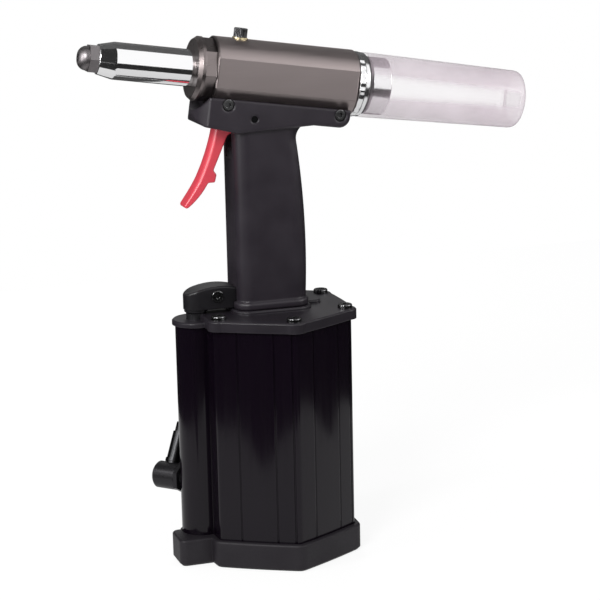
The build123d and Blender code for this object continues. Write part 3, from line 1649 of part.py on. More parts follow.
pieces = {
    "base_boot": base_boot,
    "air_cylinder": air_cylinder,
    "duct_plug": duct_plug,
    "bottom_cover": bottom_cover,
    "bottom_o_ring": bottom_o_ring,
    "bottom_circlip": bottom_circlip,
    "piston_bumper": piston_bumper,
    "air_piston": air_piston,
    "air_piston_seal": air_piston_seal,
    "ram": ram,
    "ram_nut": ram_nut,
    "upper_cover": upper_cover,
    "cover_o_ring": cover_o_ring,
    "cover_screws": cover_screws,
    "ram_gland": ram_gland,
    "ram_seal": ram_seal,
    "oil_tube": oil_tube,
    "handle": handle,
    "saddle_screws": saddle_screws,
    "trigger": trigger,
    "trigger_pin": trigger_pin,
    "push_rod": push_rod,
    "valve_chest": valve_chest,
    "valve_neck": valve_neck,
    "neck_o_ring": neck_o_ring,
    "valve_stem": valve_stem,
    "valve_spring": valve_spring,
    "valve_rocker": valve_rocker,
    "rocker_pin": rocker_pin,
    "hydraulic_head": hydraulic_head,
    "bleed_washer": bleed_washer,
    "bleed_screw": bleed_screw,
    "rod_bush": rod_bush,
    "rod_seal": rod_seal,
    "hydraulic_piston": hydraulic_piston,
    "hydraulic_seal": hydraulic_seal,
    "return_spring": return_spring,
    "mandrel_guide": mandrel_guide,
    "rear_cap": rear_cap,
    "rear_cap_o_ring": rear_cap_o_ring,
    "vacuum_ring": vacuum_ring,
    "collector_spigot": collector_spigot,
    "collector_o_ring": collector_o_ring,
    "mandrel_collector": mandrel_collector,
    "front_collar": front_collar,
    "nose_housing": nose_housing,
    "nosepiece": nosepiece,
    "jaw_case": jaw_case,
    "jaw_1": jaws[0],
    "jaw_2": jaws[1],
    "jaw_3": jaws[2],
    "jaw_pusher": jaw_pusher,
    "pusher_spring": pusher_spring,
    "inlet_stub": inlet_stub,
    "inlet_o_ring": inlet_o_ring,
    "inlet_swivel": inlet_swivel,
    "inlet_nipple": inlet_nipple,
}
for name, piece in pieces.items():
    piece.part.label = name
    export_step(piece.part, f"parts/{name}.step")
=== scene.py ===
import json
import bpy
import numpy as np
from mathutils import Matrix, Vector


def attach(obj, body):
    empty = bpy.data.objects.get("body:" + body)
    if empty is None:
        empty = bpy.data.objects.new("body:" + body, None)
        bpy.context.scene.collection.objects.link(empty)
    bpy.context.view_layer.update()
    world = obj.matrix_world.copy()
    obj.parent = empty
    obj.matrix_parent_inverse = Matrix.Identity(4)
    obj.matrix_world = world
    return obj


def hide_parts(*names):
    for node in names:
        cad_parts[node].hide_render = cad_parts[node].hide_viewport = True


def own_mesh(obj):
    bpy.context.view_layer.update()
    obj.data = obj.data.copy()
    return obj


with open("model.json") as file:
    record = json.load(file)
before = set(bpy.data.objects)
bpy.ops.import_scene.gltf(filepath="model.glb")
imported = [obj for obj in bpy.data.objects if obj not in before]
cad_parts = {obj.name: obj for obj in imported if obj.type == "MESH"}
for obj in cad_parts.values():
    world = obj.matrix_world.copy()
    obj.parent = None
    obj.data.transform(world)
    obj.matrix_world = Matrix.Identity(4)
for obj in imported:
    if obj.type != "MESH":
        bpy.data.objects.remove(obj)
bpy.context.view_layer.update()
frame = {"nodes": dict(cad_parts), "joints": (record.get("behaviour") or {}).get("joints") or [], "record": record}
nodes = frame["nodes"]
joints = {joint["name"]: joint for joint in frame["joints"]}
scene = bpy.context.scene
scene.view_settings.view_transform = "Standard"
print("frame loaded,", len(nodes), "nodes")

# Directions of the frame, then the head's own: its centre and axis are those of the knurled ring's hinge
millimetre = 0.001
rearward, across, upward = np.eye(3)
headStart = np.array(joints["vacuum_ring_turn"]["pos_m"], float)
headBack = np.array(joints["vacuum_ring_turn"]["axis"], float)
headUp = np.cross(headBack, across)

# The picture's viewpoint: turned to the left of the side view, a little above, with a slight roll
viewpoint = {
    "azimuth": -17.905, "elevation": 12.661, "roll": -1.26, "place": (-0.3495, -1.13885, 0.42156),
    "lens": 122.14, "sensor": 36.0, "farthest": 20.0,
}


def placeCamera(settings):
    azimuth, elevation, roll = np.radians([settings[key] for key in ("azimuth", "elevation", "roll")])
    right = np.array([np.cos(azimuth), np.sin(azimuth), 0.0])
    level = np.array([np.sin(azimuth), -np.cos(azimuth), 0.0])
    back = level * np.cos(elevation) + upward * np.sin(elevation)
    up = np.cross(back, right)
    rolledRight = right * np.cos(roll) + up * np.sin(roll)
    rolledUp = up * np.cos(roll) - right * np.sin(roll)
    matrix = np.eye(4)
    matrix[:3, :3] = np.stack([rolledRight, rolledUp, back], axis=1)
    matrix[:3, 3] = settings["place"]
    data = bpy.data.cameras.new("camera")
    data.sensor_fit = "HORIZONTAL"
    data.sensor_width = settings["sensor"]
    data.lens = settings["lens"]
    data.clip_end = settings["farthest"]
    camera = bpy.data.objects.new("camera", data)
    scene.collection.objects.link(camera)
    camera.matrix_world = Matrix(matrix.tolist())
    scene.camera = camera


placeCamera(viewpoint)
print("camera placed")


def grey(tone):
    return (tone, tone, tone, 1.0)


def feed(tree, node, inputs):
    # Another node's output is linked to the named input, and a plain value is set on it
    for key, value in inputs.items():
        if isinstance(value, bpy.types.NodeSocket):
            tree.links.new(value, node.inputs[key])
        else:
            node.inputs[key].default_value = value
    return node


def addNode(tree, kind, inputs=None, operation=None):
    node = tree.nodes.new("ShaderNode" + kind)
    if operation:
        node.operation = operation
    return feed(tree, node, inputs or {})


def mathNode(tree, operation, first, second):
    return addNode(tree, "Math", {0: first, 1: second}, operation).outputs[0]


def newMaterial(name):
    material = bpy.data.materials.new(name)
    material.use_nodes = True
    return material, material.node_tree


# Air: white to the camera, to mirrors and through clear plastic, and a weaker fill light for the rest
air = {"white": 1.0, "fill": 0.45}


def lightAir(settings):
    world = bpy.data.worlds.new("studioAir")
    world.use_nodes = True
    scene.world = world
    tree = world.node_tree
    tree.nodes.clear()
    path = addNode(tree, "LightPath").outputs
    seen = mathNode(tree, "MAXIMUM", path["Is Camera Ray"], path["Is Glossy Ray"])
    seen = mathNode(tree, "MAXIMUM", seen, path["Is Transmission Ray"])
    fill = addNode(tree, "Background", {"Color": grey(1.0), "Strength": settings["fill"]})
    white = addNode(tree, "Background", {"Color": grey(1.0), "Strength": settings["white"]})
    mix = addNode(tree, "MixShader", {0: seen, 1: fill.outputs[0], 2: white.outputs[0]})
    addNode(tree, "OutputWorld", {"Surface": mix.outputs[0]})


# Lamps: three round ones and an upright strip, all aimed at the middle of the tool
aimPoint = Vector((0.0, 0.0, 0.17))
lamps = {
    "keyLamp": {"place": (-0.85, -1.0, 1.0), "size": 0.6, "power": 18.0},
    "sideLamp": {"place": (1.1, -0.7, 0.8), "size": 0.8, "power": 7.0},
    "rearLamp": {"place": (0.2, 1.2, 1.0), "size": 0.9, "power": 8.0},
    "stripLamp": {"place": (-0.62, -0.14, 0.42), "size": 0.14, "tall": 0.5, "power": 1.9},
}


def setLamp(name, settings):
    data = bpy.data.lights.new(name, "AREA")
    data.shape = "ELLIPSE"
    data.size = settings["size"]
    data.size_y = settings.get("tall", settings["size"])
    data.energy = settings["power"]
    lamp = bpy.data.objects.new(name, data)
    scene.collection.objects.link(lamp)
    place = Vector(settings["place"])
    turn = (aimPoint - place).to_track_quat("-Z", "Y").to_matrix().to_4x4()
    lamp.matrix_world = Matrix.Translation(place) @ turn


def newPiece(name, points, faces):
    mesh = bpy.data.meshes.new(name)
    mesh.from_pydata(points.reshape(-1, 3).tolist(), [], faces)
    mesh.polygons.foreach_set("use_smooth", np.ones(len(faces), bool))
    mesh.update()
    piece = bpy.data.objects.new(name, mesh)
    scene.collection.objects.link(piece)
    return piece


def gridQuads(rows, columns):
    # Corner numbers of the quads between neighbours on a grid that closes on itself both ways
    index = np.arange(rows * columns).reshape(rows, columns)
    below = np.roll(index, -1, axis=0)
    return np.stack([index, below, np.roll(below, -1, axis=1), np.roll(index, -1, axis=1)], axis=-1)


def openSheet(name, points, closed=False):
    # Quads over a grid of points whose rows may close on themselves
    rows, columns = points.shape[:2]
    quads = gridQuads(rows, columns)[: rows if closed else rows - 1, : columns - 1]
    return newPiece(name, points, quads.reshape(-1, 4).tolist())


def evenGrid(firstSpan, secondSpan, lines):
    # Two parameters, each spaced evenly over its span
    first = np.linspace(*firstSpan, lines[0])
    second = np.linspace(*secondSpan, lines[1])
    return np.meshgrid(first, second, indexing="ij")


# Table: a square of white paper just below the boot, which keeps the shadow. It glows in part, more to the
# camera than to mirrors
paperTable = {"half": 0.8, "below": 0.0002, "lines": (9, 9), "tone": 0.9,
              "share": 0.85, "cameraGlow": 1.0, "mirrorGlow": 0.6}


def paperMaterial(name, settings):
    material, tree = newMaterial(name)
    tree.nodes.clear()
    path = addNode(tree, "LightPath").outputs
    seen = mathNode(tree, "MAXIMUM", path["Is Camera Ray"], path["Is Transmission Ray"])
    result = addNode(tree, "BsdfDiffuse", {"Color": grey(settings["tone"])}).outputs[0]
    for rays, strength in ((seen, settings["cameraGlow"]), (path["Is Glossy Ray"], settings["mirrorGlow"])):
        glow = addNode(tree, "Emission", {"Color": grey(1.0), "Strength": strength})
        share = mathNode(tree, "MULTIPLY", rays, settings["share"])
        result = addNode(tree, "MixShader", {0: share, 1: result, 2: glow.outputs[0]}).outputs[0]
    addNode(tree, "OutputMaterial", {"Surface": result})
    return material


def layTable(settings):
    span = (-settings["half"], settings["half"])
    x, y = evenGrid(span, span, settings["lines"])
    table = openSheet("table", np.stack([x, y, np.full(x.shape, -settings["below"])], axis=-1))
    table.data.materials.append(paperMaterial("tablePaper", settings))


def hangFlag(flag, cloth, tone):
    # A flag is a dark cloth that only reflections see
    material, tree = newMaterial(cloth)
    feed(tree, tree.nodes["Principled BSDF"], {
        "Base Color": grey(tone), "Roughness": 1.0, "Specular IOR Level": 0.0,
        "Emission Color": grey(tone), "Emission Strength": 1.0})
    flag.data.materials.append(material)
    flag.visible_camera = False
    flag.visible_diffuse = False
    flag.visible_shadow = False
    flag.visible_transmission = False
    flag.visible_volume_scatter = False


# Dark skirt: a low wall round the table that comes nearer, or goes further, in bell-shaped dips, each given
# by its middle and width in degrees and its depth
skirt = {
    "radius": 0.345, "height": 0.24, "steps": 720, "tone": 0.012,
    "dips": ((-129.5, 4.4, 0.10), (-17.0, 3.4, 0.105), (-17.0, 16.0, -0.05), (-73.0, 16.0, -0.04)),
}


def darkSkirt(settings):
    around = np.linspace(-np.pi, np.pi, settings["steps"], endpoint=False)
    turn, height = np.meshgrid(around, [0.0, settings["height"]], indexing="ij")
    middle, width, depth = np.array(settings["dips"]).T[:, :, None, None]
    dips = depth * np.exp(-(((np.degrees(turn) - middle) / width) ** 2))
    radius = settings["radius"] - dips.sum(axis=0)
    wall = np.stack([radius * np.cos(turn), radius * np.sin(turn), height], axis=-1)
    return openSheet("darkSkirt", wall, closed=True)


# Dim hood over and behind: part of a long barrel about a line along x, with its rise in degrees
hood = {"reach": 2.0, "radius": 1.3, "height": 0.3, "rise": (-12.0, 97.0), "lines": (9, 25), "tone": 0.05}


def dimHood(settings):
    span = (-settings["reach"], settings["reach"])
    x, rise = evenGrid(span, np.radians(settings["rise"]), settings["lines"])
    y = settings["radius"] * np.cos(rise)
    z = settings["height"] + settings["radius"] * np.sin(rise)
    return openSheet("dimHood", np.stack([x, y, z], axis=-1))


# Dark cloth about the camera: part of a ball centred near the nose, wider towards the top, in degrees
velvet = {"centre": (-0.1, 0.0, 0.3), "radius": 1.05, "turn": (-116.0, -86.0), "lean": 26.0,
          "rise": (-11.0, 88.0), "lines": (13, 25), "tone": 0.016}


def cameraCloth(settings):
    share, lift = evenGrid((0.0, 1.0), settings["rise"], settings["lines"])
    first, last = settings["turn"]
    last = last + settings["lean"] * (lift / 90.0) ** 2
    turn, rise = np.radians(first + (last - first) * share), np.radians(lift)
    ball = np.stack([np.cos(turn) * np.cos(rise), np.sin(turn) * np.cos(rise), np.sin(rise)], axis=-1)
    return openSheet("cameraCloth", np.array(settings["centre"]) + settings["radius"] * ball)


# Dark sheet: a level rectangle below the nose
sheet = {"x": (-0.10, -0.048), "y": (0.015, 0.35), "height": 0.17, "lines": (9, 9), "tone": 0.03}


def darkSheet(settings):
    x, y = evenGrid(settings["x"], settings["y"], settings["lines"])
    return openSheet("darkSheet", np.stack([x, y, np.full(x.shape, settings["height"])], axis=-1))


lightAir(air)
for lampName, lampSettings in lamps.items():
    setLamp(lampName, lampSettings)
layTable(paperTable)
hangFlag(darkSkirt(skirt), "skirtCloth", skirt["tone"])
hangFlag(dimHood(hood), "hoodCloth", hood["tone"])
hangFlag(cameraCloth(velvet), "cameraVelvet", velvet["tone"])
hangFlag(darkSheet(sheet), "sheetCloth", sheet["tone"])
print("studio lit")

# Finishes: two tones of colour, two of roughness and a bump, all from noise in the piece's own space.
# "edge" is the radius of a soft edge, and "joint" gives a line of painted shade round the head, where the collar
# meets it: the lengths along it, in metres, between which the tone rises, and the share of the tone that it rises
# from
finishes = {
    "boot_rubber": {"tones": ((0.0105, 0.0085, 0.0115), (0.0145, 0.0125, 0.0155)), "rough": (0.45, 0.6),
                    "grain": 900.0, "bump": 0.2, "shine": 0.25, "edge": 0.0009},
    "cylinder_black": {"tones": ((0.0024, 0.0012, 0.0030), (0.0036, 0.0020, 0.0044)), "rough": (0.10, 0.17),
                       "grain": 260.0, "stretch": (1.0, 1.0, 0.02), "bump": 0.04, "shine": 0.3,
                       "edge": 0.0007},
    "cover_black": {"tones": ((0.0105, 0.0085, 0.0118), (0.0145, 0.012, 0.016)), "rough": (0.28, 0.4),
                    "grain": 1400.0, "bump": 0.1, "shine": 0.4, "edge": 0.0006},
    "handle_plastic": {"tones": ((0.0135, 0.0105, 0.0148), (0.0185, 0.015, 0.020)), "rough": (0.3, 0.4),
                       "grain": 1600.0, "bump": 0.12, "shine": 0.42, "edge": 0.002},
    "chest_black": {"tones": ((0.0045, 0.0040, 0.0052), (0.0075, 0.0068, 0.0085)), "rough": (0.3, 0.4),
                    "grain": 1600.0, "bump": 0.12, "shine": 0.45, "edge": 0.001},
    "head_grey": {"tones": ((0.31, 0.265, 0.262), (0.365, 0.318, 0.315)), "rough": (0.36, 0.46),
                  "grain": 700.0, "stretch": (0.05, 1.0, 1.0), "bump": 0.05, "metal": 1.0, "edge": 0.0005,
                  "joint": (-0.0344, -0.0328, 0.14)},
    # The front collar: the head's grey in a deeper tone, painted shade on the collar, with a lower roughness
    "collar_grey_shaded": {"tones": ((0.215, 0.185, 0.183), (0.258, 0.225, 0.222)), "rough": (0.26, 0.36),
                    "grain": 700.0, "stretch": (0.05, 1.0, 1.0), "bump": 0.05, "metal": 1.0,
                    "edge": 0.0005},
    "nose_chrome": {"tones": ((0.95, 0.95, 0.96), (0.98, 0.98, 0.985)), "rough": (0.05, 0.10),
                    "grain": 500.0, "stretch": (0.05, 1.0, 1.0), "bump": 0.01, "metal": 1.0},
    "ring_chrome": {"tones": ((0.90, 0.90, 0.91), (0.96, 0.96, 0.965)), "rough": (0.12, 0.2),
                    "grain": 600.0, "bump": 0.02, "metal": 1.0},
    "tip_steel": {"tones": ((0.19, 0.175, 0.18), (0.26, 0.245, 0.25)), "rough": (0.36, 0.48),
                  "grain": 500.0, "bump": 0.06, "metal": 1.0},
    "trigger_red": {"tones": ((0.465, 0.030, 0.050), (0.525, 0.038, 0.058)), "rough": (0.3, 0.38),
                    "grain": 1200.0, "bump": 0.04, "shine": 0.8},
    "washer_brass": {"tones": ((0.70, 0.60, 0.36), (0.80, 0.70, 0.45)), "rough": (0.2, 0.32),
                     "grain": 900.0, "bump": 0.05, "metal": 1.0},
    "screw_steel": {"tones": ((0.11, 0.11, 0.113), (0.16, 0.16, 0.163)), "rough": (0.14, 0.24),
                    "grain": 900.0, "bump": 0.04, "metal": 1.0},
    "bleed_steel": {"tones": ((0.040, 0.040, 0.042), (0.065, 0.065, 0.067)), "rough": (0.12, 0.2),
                    "grain": 900.0, "bump": 0.04, "metal": 1.0},
    "pin_black": {"tones": ((0.010, 0.010, 0.0105), (0.017, 0.017, 0.018)), "rough": (0.3, 0.42),
                  "grain": 900.0, "bump": 0.04, "metal": 1.0},
    "inlet_metal": {"tones": ((0.020, 0.019, 0.021), (0.030, 0.029, 0.032)), "rough": (0.26, 0.38),
                    "grain": 700.0, "bump": 0.05, "metal": 0.7},
    "nipple_steel": {"tones": ((0.026, 0.026, 0.027), (0.042, 0.042, 0.044)), "rough": (0.3, 0.4),
                     "grain": 600.0, "bump": 0.04, "metal": 1.0},
    "ground_steel": {"tones": ((0.50, 0.50, 0.51), (0.60, 0.60, 0.61)), "rough": (0.2, 0.3),
                     "grain": 500.0, "bump": 0.03, "metal": 1.0},
    "spring_steel": {"tones": ((0.30, 0.30, 0.32), (0.40, 0.40, 0.42)), "rough": (0.25, 0.35),
                     "grain": 900.0, "bump": 0.03, "metal": 1.0},
    "inner_aluminium": {"tones": ((0.60, 0.60, 0.61), (0.70, 0.70, 0.71)), "rough": (0.3, 0.42),
                        "grain": 500.0, "bump": 0.04, "metal": 1.0},
    "bush_brass": {"tones": ((0.66, 0.47, 0.18), (0.76, 0.57, 0.24)), "rough": (0.25, 0.36),
                   "grain": 600.0, "bump": 0.04, "metal": 1.0},
    "seal_rubber": {"tones": ((0.010, 0.010, 0.010), (0.016, 0.016, 0.016)), "rough": (0.4, 0.55),
                    "grain": 900.0, "bump": 0.1},
}

# Noise in every finish: the broad one is so many times larger than the grain. Roughness and tones are read
# between two values of it, and the bump stands so many metres high
noiseUse = {"times": 25.0, "fineDetail": 4.0, "broadDetail": 3.0, "roughFrom": (0.3, 0.7),
            "tonesFrom": (0.32, 0.68), "bumpHeight": 0.0002, "edgeSamples": 6}


def noiseField(tree, scale, detail, stretch=(1.0, 1.0, 1.0)):
    place = addNode(tree, "TexCoord")
    fit = addNode(tree, "Mapping", {"Vector": place.outputs["Object"], "Scale": stretch})
    noise = addNode(tree, "TexNoise", {"Vector": fit.outputs["Vector"], "Scale": scale, "Detail": detail})
    return noise.outputs["Fac"]


def spread(tree, factor, source, target):
    # The factor's span between two source values becomes the span between two target values
    span = addNode(tree, "MapRange", {
        "Value": factor, "From Min": source[0], "From Max": source[1],
        "To Min": target[0], "To Max": target[1]})
    return span.outputs["Result"]


def colourRamp(tree, factor, stops, interpolation="LINEAR"):
    # Colours at their places along the factor
    ramp = addNode(tree, "ValToRGB", {"Fac": factor})
    ramp.color_ramp.interpolation = interpolation
    elements = ramp.color_ramp.elements
    while len(elements) < len(stops):
        elements.new(0.5)
    for element, (position, colour) in zip(elements, stops):
        element.position = position
        element.color = colour
    return ramp.outputs["Color"]


def blendTones(tree, factor, tones):
    return colourRamp(tree, factor, [
        (position, (*tone, 1.0)) for position, tone in zip(noiseUse["tonesFrom"], tones)])


def easedValues(tree, factor, stops):
    # Values that ease from stop to stop
    return colourRamp(tree, factor, [(position, grey(value)) for position, value in stops], "EASE")


def headLength(tree):
    # Length along the head axis, from the piece's own space
    place = addNode(tree, "TexCoord")
    fromStart = addNode(tree, "VectorMath", {0: place.outputs["Object"], 1: headStart}, "SUBTRACT")
    along = addNode(tree, "VectorMath", {0: fromStart.outputs["Vector"], 1: headBack}, "DOT_PRODUCT")
    return along.outputs["Value"]


def paintedJointShade(tree, tone, first, last, share):
    # Painted shade where two pieces meet: the tone falls to a share of itself at the first length, where the
    # collar meets the head, and is whole from the last length on; it also dims the reflections on the head's front
    # chamfer
    whole = spread(tree, headLength(tree), (first, last), (share, 1.0))
    return addNode(tree, "VectorMath", {0: tone, "Scale": whole}, "SCALE").outputs["Vector"]


def finishMaterial(name, settings):
    material, tree = newMaterial(name)
    stretch = settings.get("stretch", (1.0, 1.0, 1.0))
    fine = noiseField(tree, settings["grain"], noiseUse["fineDetail"], stretch)
    broad = noiseField(tree, settings["grain"] / noiseUse["times"], noiseUse["broadDetail"], stretch)
    tone = blendTones(tree, broad, settings["tones"])
    # Painted shade: the head's tone darkens where the collar meets it
    if "joint" in settings:
        tone = paintedJointShade(tree, tone, *settings["joint"])
    relief = addNode(tree, "Bump", {
        "Height": fine, "Strength": settings["bump"], "Distance": noiseUse["bumpHeight"]})
    if "edge" in settings:
        softEdge = addNode(tree, "Bevel", {"Radius": settings["edge"]})
        softEdge.samples = noiseUse["edgeSamples"]
        feed(tree, relief, {"Normal": softEdge.outputs["Normal"]})
    feed(tree, tree.nodes["Principled BSDF"], {
        "Base Color": tone, "Roughness": spread(tree, fine, noiseUse["roughFrom"], settings["rough"]),
        "Metallic": settings.get("metal", 0.0), "Specular IOR Level": settings.get("shine", 0.5),
        "Normal": relief.outputs["Normal"]})
    return material


# Clear moulded cup: faint pinkish grey that covers more where the wall is seen aslant and towards the thick
# end. Stops are (slant, cover) and (metres along the head, share of it)
clearCup = {
    "tones": ((0.52, 0.44, 0.49), (0.60, 0.52, 0.57)), "rough": (0.05, 0.12), "haze": 60.0, "shine": 0.3,
    "slantBlend": 0.35, "slants": ((0.055, 0.11), (0.12, 0.55), (0.6, 0.55), (0.95, 0.65)),
    "lengths": ((0.060, 0.58), (0.080, 0.80), (0.125, 0.88), (0.145, 1.0)),
}


def clearMaterial(name, settings):
    material, tree = newMaterial(name)
    haze = noiseField(tree, settings["haze"], noiseUse["broadDetail"])
    slant = addNode(tree, "LayerWeight", {"Blend": settings["slantBlend"]})
    veil = easedValues(tree, slant.outputs["Facing"], settings["slants"])
    share = easedValues(tree, headLength(tree), settings["lengths"])
    wall = addNode(tree, "Attribute")
    wall.attribute_name = "tint"
    cover = mathNode(tree, "MULTIPLY", mathNode(tree, "MULTIPLY", veil, share), wall.outputs["Fac"])
    feed(tree, tree.nodes["Principled BSDF"], {
        "Base Color": blendTones(tree, haze, settings["tones"]),
        "Roughness": spread(tree, haze, noiseUse["roughFrom"], settings["rough"]),
        "Specular IOR Level": settings["shine"], "Alpha": cover})
    return material


materials = {name: finishMaterial(name, settings) for name, settings in finishes.items()}
materials["collector_clear"] = clearMaterial("collector_clear", clearCup)
print("finishes made")

# Every CAD node takes the finish of its slot in the record, apart from three that wear a deeper tone; on the front
# collar that deeper tone is painted shade
finishOfNode = {entry["node"]: entry["material_slot"] for entry in frame["record"]["subparts"]}
finishOfNode.update(valve_chest="chest_black", trigger_pin="pin_black", front_collar="collar_grey_shaded")


def dressNode(name):
    piece = nodes[name]
    material = materials[finishOfNode[name]]
    if not piece.material_slots:
        piece.data.materials.append(material)
    for place in piece.material_slots:
        place.material = material


for nodeName in nodes:
    dressNode(nodeName)
print("nodes dressed")


def fade(values, zeroAt, fullAt):
    # A straight rise from 0 to 1, level before and after
    return np.clip((values - zeroAt) / (fullAt - zeroAt), 0.0, 1.0)


def softened(corners, reach, steps=6, lead=1.3):
    # Each corner of a closed profile becomes a quadratic bend from a reach before it to a reach after it,
    # with one more point a little further out on each side
    before = np.roll(corners, 1, axis=0) - corners
    after = np.roll(corners, -1, axis=0) - corners
    before = (before / np.linalg.norm(before[:, :2], axis=1)[:, None])[:, None, :]
    after = (after / np.linalg.norm(after[:, :2], axis=1)[:, None])[:, None, :]
    reach = np.broadcast_to(reach, len(corners))[:, None, None]
    share = np.linspace(0.0, 1.0, steps)[None, :, None]
    middle = corners[:, None, :]
    first, last = middle + before * reach, middle + after * reach
    bend = (1 - share) ** 2 * first + 2 * share * (1 - share) * middle + share**2 * last
    rows = [middle + before * reach * lead, bend, middle + after * reach * lead]
    return np.concatenate(rows, axis=1).reshape(-1, corners.shape[1])


def openProfile(corners, reach, steps=6):
    # The same for a profile that starts at its first corner and ends at its last, with one row for each
    spare = steps + 1
    return softened(corners, reach, steps)[spare:-spare]


def skinned(points, ends=None):
    # Faces over a grid that closes on itself both ways, or over a tube closed by fans to two end points
    rows, around = points.shape[:2]
    quads = gridQuads(rows, around)
    points = points.reshape(-1, 3)
    if ends is None:
        return points, [quads.reshape(-1, 4)]
    first, last = quads[0], quads[-1]
    fans = np.concatenate([
        np.stack([np.full(around, len(points)), first[:, 0], first[:, 3]], axis=1),
        np.stack([np.full(around, len(points) + 1), last[:, 3], last[:, 0]], axis=1)])
    return np.concatenate([points, ends]), [quads[:-1].reshape(-1, 4), fans]


def turned(rows, around, flutes=0, depths=0.0, pins=None):
    # Rows of (length, radius, share of a hexagon) carried round an axis. Flutes cut each row by its depth
    # in cosine waves, and pins are the two lengths at which an open profile ends on the axis
    turn = np.linspace(0.0, 2 * np.pi, around, endpoint=False)
    sixth = np.pi / 3
    hexagon = 1 / np.cos((turn + sixth / 2) % sixth - sixth / 2)
    radius = rows[:, 1:2] * (1 + rows[:, 2:3] * (hexagon - 1))
    radius = radius - depths * (0.5 + 0.5 * np.cos(flutes * turn))
    length = np.broadcast_to(rows[:, :1], radius.shape)
    points = np.stack([radius * np.cos(turn), radius * np.sin(turn), length], axis=-1)
    return skinned(points, None if pins is None else np.outer(pins, upward))


def stood(name, shape, starts, sides, ups, alongs):
    # Copies of a shape, each with its own start, two cross directions and length direction
    points, faceGroups = shape
    starts, sides, ups, alongs = (np.atleast_2d(v)[:, None, :] for v in (starts, sides, ups, alongs))
    placed = starts + points[:, 0:1] * sides + points[:, 1:2] * ups + points[:, 2:3] * alongs
    ahead = np.arange(len(placed))[:, None, None] * len(points)
    faces = [face for group in faceGroups for face in (group + ahead).reshape(-1, group.shape[1]).tolist()]
    return newPiece(name, placed, faces)


def onHead(name, shape):
    # The shape's length runs back along the head axis
    return stood(name, shape, headStart, across, headUp, headBack)


def inMetres(corners):
    # Corners in millimetres as (length, radius), or with a share of a hexagon as a third value
    rows = [(*corner, 0.0)[:3] for corner in corners]
    return np.array(rows) * (millimetre, millimetre, 1.0)


# Sizes and places of the pieces below are in millimetres, and lengths along the head start at its centre

# Knurled ring: a turned ring whose rim has rounded flutes, deepest in the middle of its width
knurl = {"front": 52.9, "rear": 56.2, "bore": 13.05, "rim": 19.4, "bends": (0.2, 0.5, 0.5, 0.2),
         "rimRows": 5, "rimMargin": 0.7, "flutes": 24, "depth": 0.4, "band": 0.6, "stepsPerFlute": 12}


def knurledRing(settings):
    front, rear, bore, rim = (settings[key] for key in ("front", "rear", "bore", "rim"))
    corners = inMetres(((front, bore), (front, rim), (rear, rim), (rear, bore)))
    rows = softened(corners, np.array(settings["bends"]) * millimetre)
    margin = settings["rimMargin"]
    land = np.linspace(front + margin, rear - margin, settings["rimRows"] + 2)[1:-1]
    half = len(rows) // 2
    rows = np.concatenate([rows[:half], inMetres([(length, rim) for length in land]), rows[half:]])
    fromMiddle = (rows[:, :1] * 2 / millimetre - front - rear) / (rear - front)
    outer = rows[:, 1:2] > (rim - settings["band"]) * millimetre
    depths = settings["depth"] * millimetre * outer * np.clip(1 - fromMiddle**4, 0.0, 1.0)
    flutes = settings["flutes"]
    return onHead("knurledRing", turned(rows, flutes * settings["stepsPerFlute"], flutes, depths))


# Chrome nose: tube with a short cone at the front and a thinner tail inside the collar
noseProfile = {
    "corners": ((-101.0, 5.5), (-94.0, 5.5), (-94.0, 8.2), (-27.0, 8.2), (-27.0, 9.9),
                (-45.3, 9.9), (-45.3, 10.8), (-91.5, 10.8), (-101.0, 8.6)),
    "bends": (0.2, 0.2, 0.2, 0.2, 0.2, 0.1, 0.2, 0.5, 0.4), "around": 224,
}

# Polished spigot: flange, sleeve with an O-ring groove, and a wide mouth at the rear
spigotProfile = {
    "corners": ((56.5, 10.05), (66.0, 10.05), (66.0, 13.0), (73.4, 13.0), (73.4, 17.0), (62.15, 17.0),
                (62.15, 15.0), (59.85, 15.0), (59.85, 17.0), (58.8, 17.0), (58.8, 19.0), (56.5, 19.0)),
    "bends": (0.2, 0.2, 0.2, 0.3, 0.6, 0.15, 0.15, 0.15, 0.15, 0.1, 0.4, 0.4), "around": 224,
}


def turnedTube(name, settings):
    # The closed profile with softened corners, carried round the head axis
    rows = softened(inMetres(settings["corners"]), np.array(settings["bends"]) * millimetre)
    return onHead(name, turned(rows, settings["around"]))


# Clear collector cup: open at the front, a little narrower towards its thick rounded end. Its profile
# starts and ends near the axis, and the tint rises over the end's first rows
cupProfile = {
    "corners": ((161.4, 0.5), (161.4, 17.35), (59.1, 19.3), (59.1, 17.3),
                (76.0, 17.3), (158.4, 15.4), (158.4, 0.5)),
    "bends": (0.2, 4.3, 0.5, 0.4, 1.0, 2.2, 0.2), "steps": 8, "around": 224,
    "endRows": (1, 4), "endTint": 0.4, "insideTint": 0.15,
}


def collectorCup(settings):
    corners, around = inMetres(settings["corners"]), settings["around"]
    rows = openProfile(corners, np.array(settings["bends"]) * millimetre, settings["steps"])
    piece = onHead("collectorCup", turned(rows, around, pins=corners[[0, -1], 0]))
    # The outer wall, up to the widest row, carries the tint. The end has less of it, the inner wall little
    widest, end, inside = rows[:, 1].argmax(), settings["endTint"], settings["insideTint"]
    places = [*settings["endRows"], widest, widest + 1]
    tint = np.interp(np.arange(len(rows)), places, [end, 1.0, 1.0, inside])
    tint = np.concatenate([tint.repeat(around), [end, inside]])
    piece.data.attributes.new("tint", "FLOAT", "POINT").data.foreach_set("value", tint)
    return piece


# Screws: radius and height of the head, width and depth of the key, radius and reach of the shank, and the
# bend of the head's top edge. For all of them, the key's floor and the shank's end start at a core, a share
# of their radius, and the key and the corners under the head have bends of their own
screwForm = {"core": 0.2, "keyBends": (0.05, 0.08, 0.15), "shankBends": (0.2, 0.15, 0.3, 0.05),
             "around": 72}


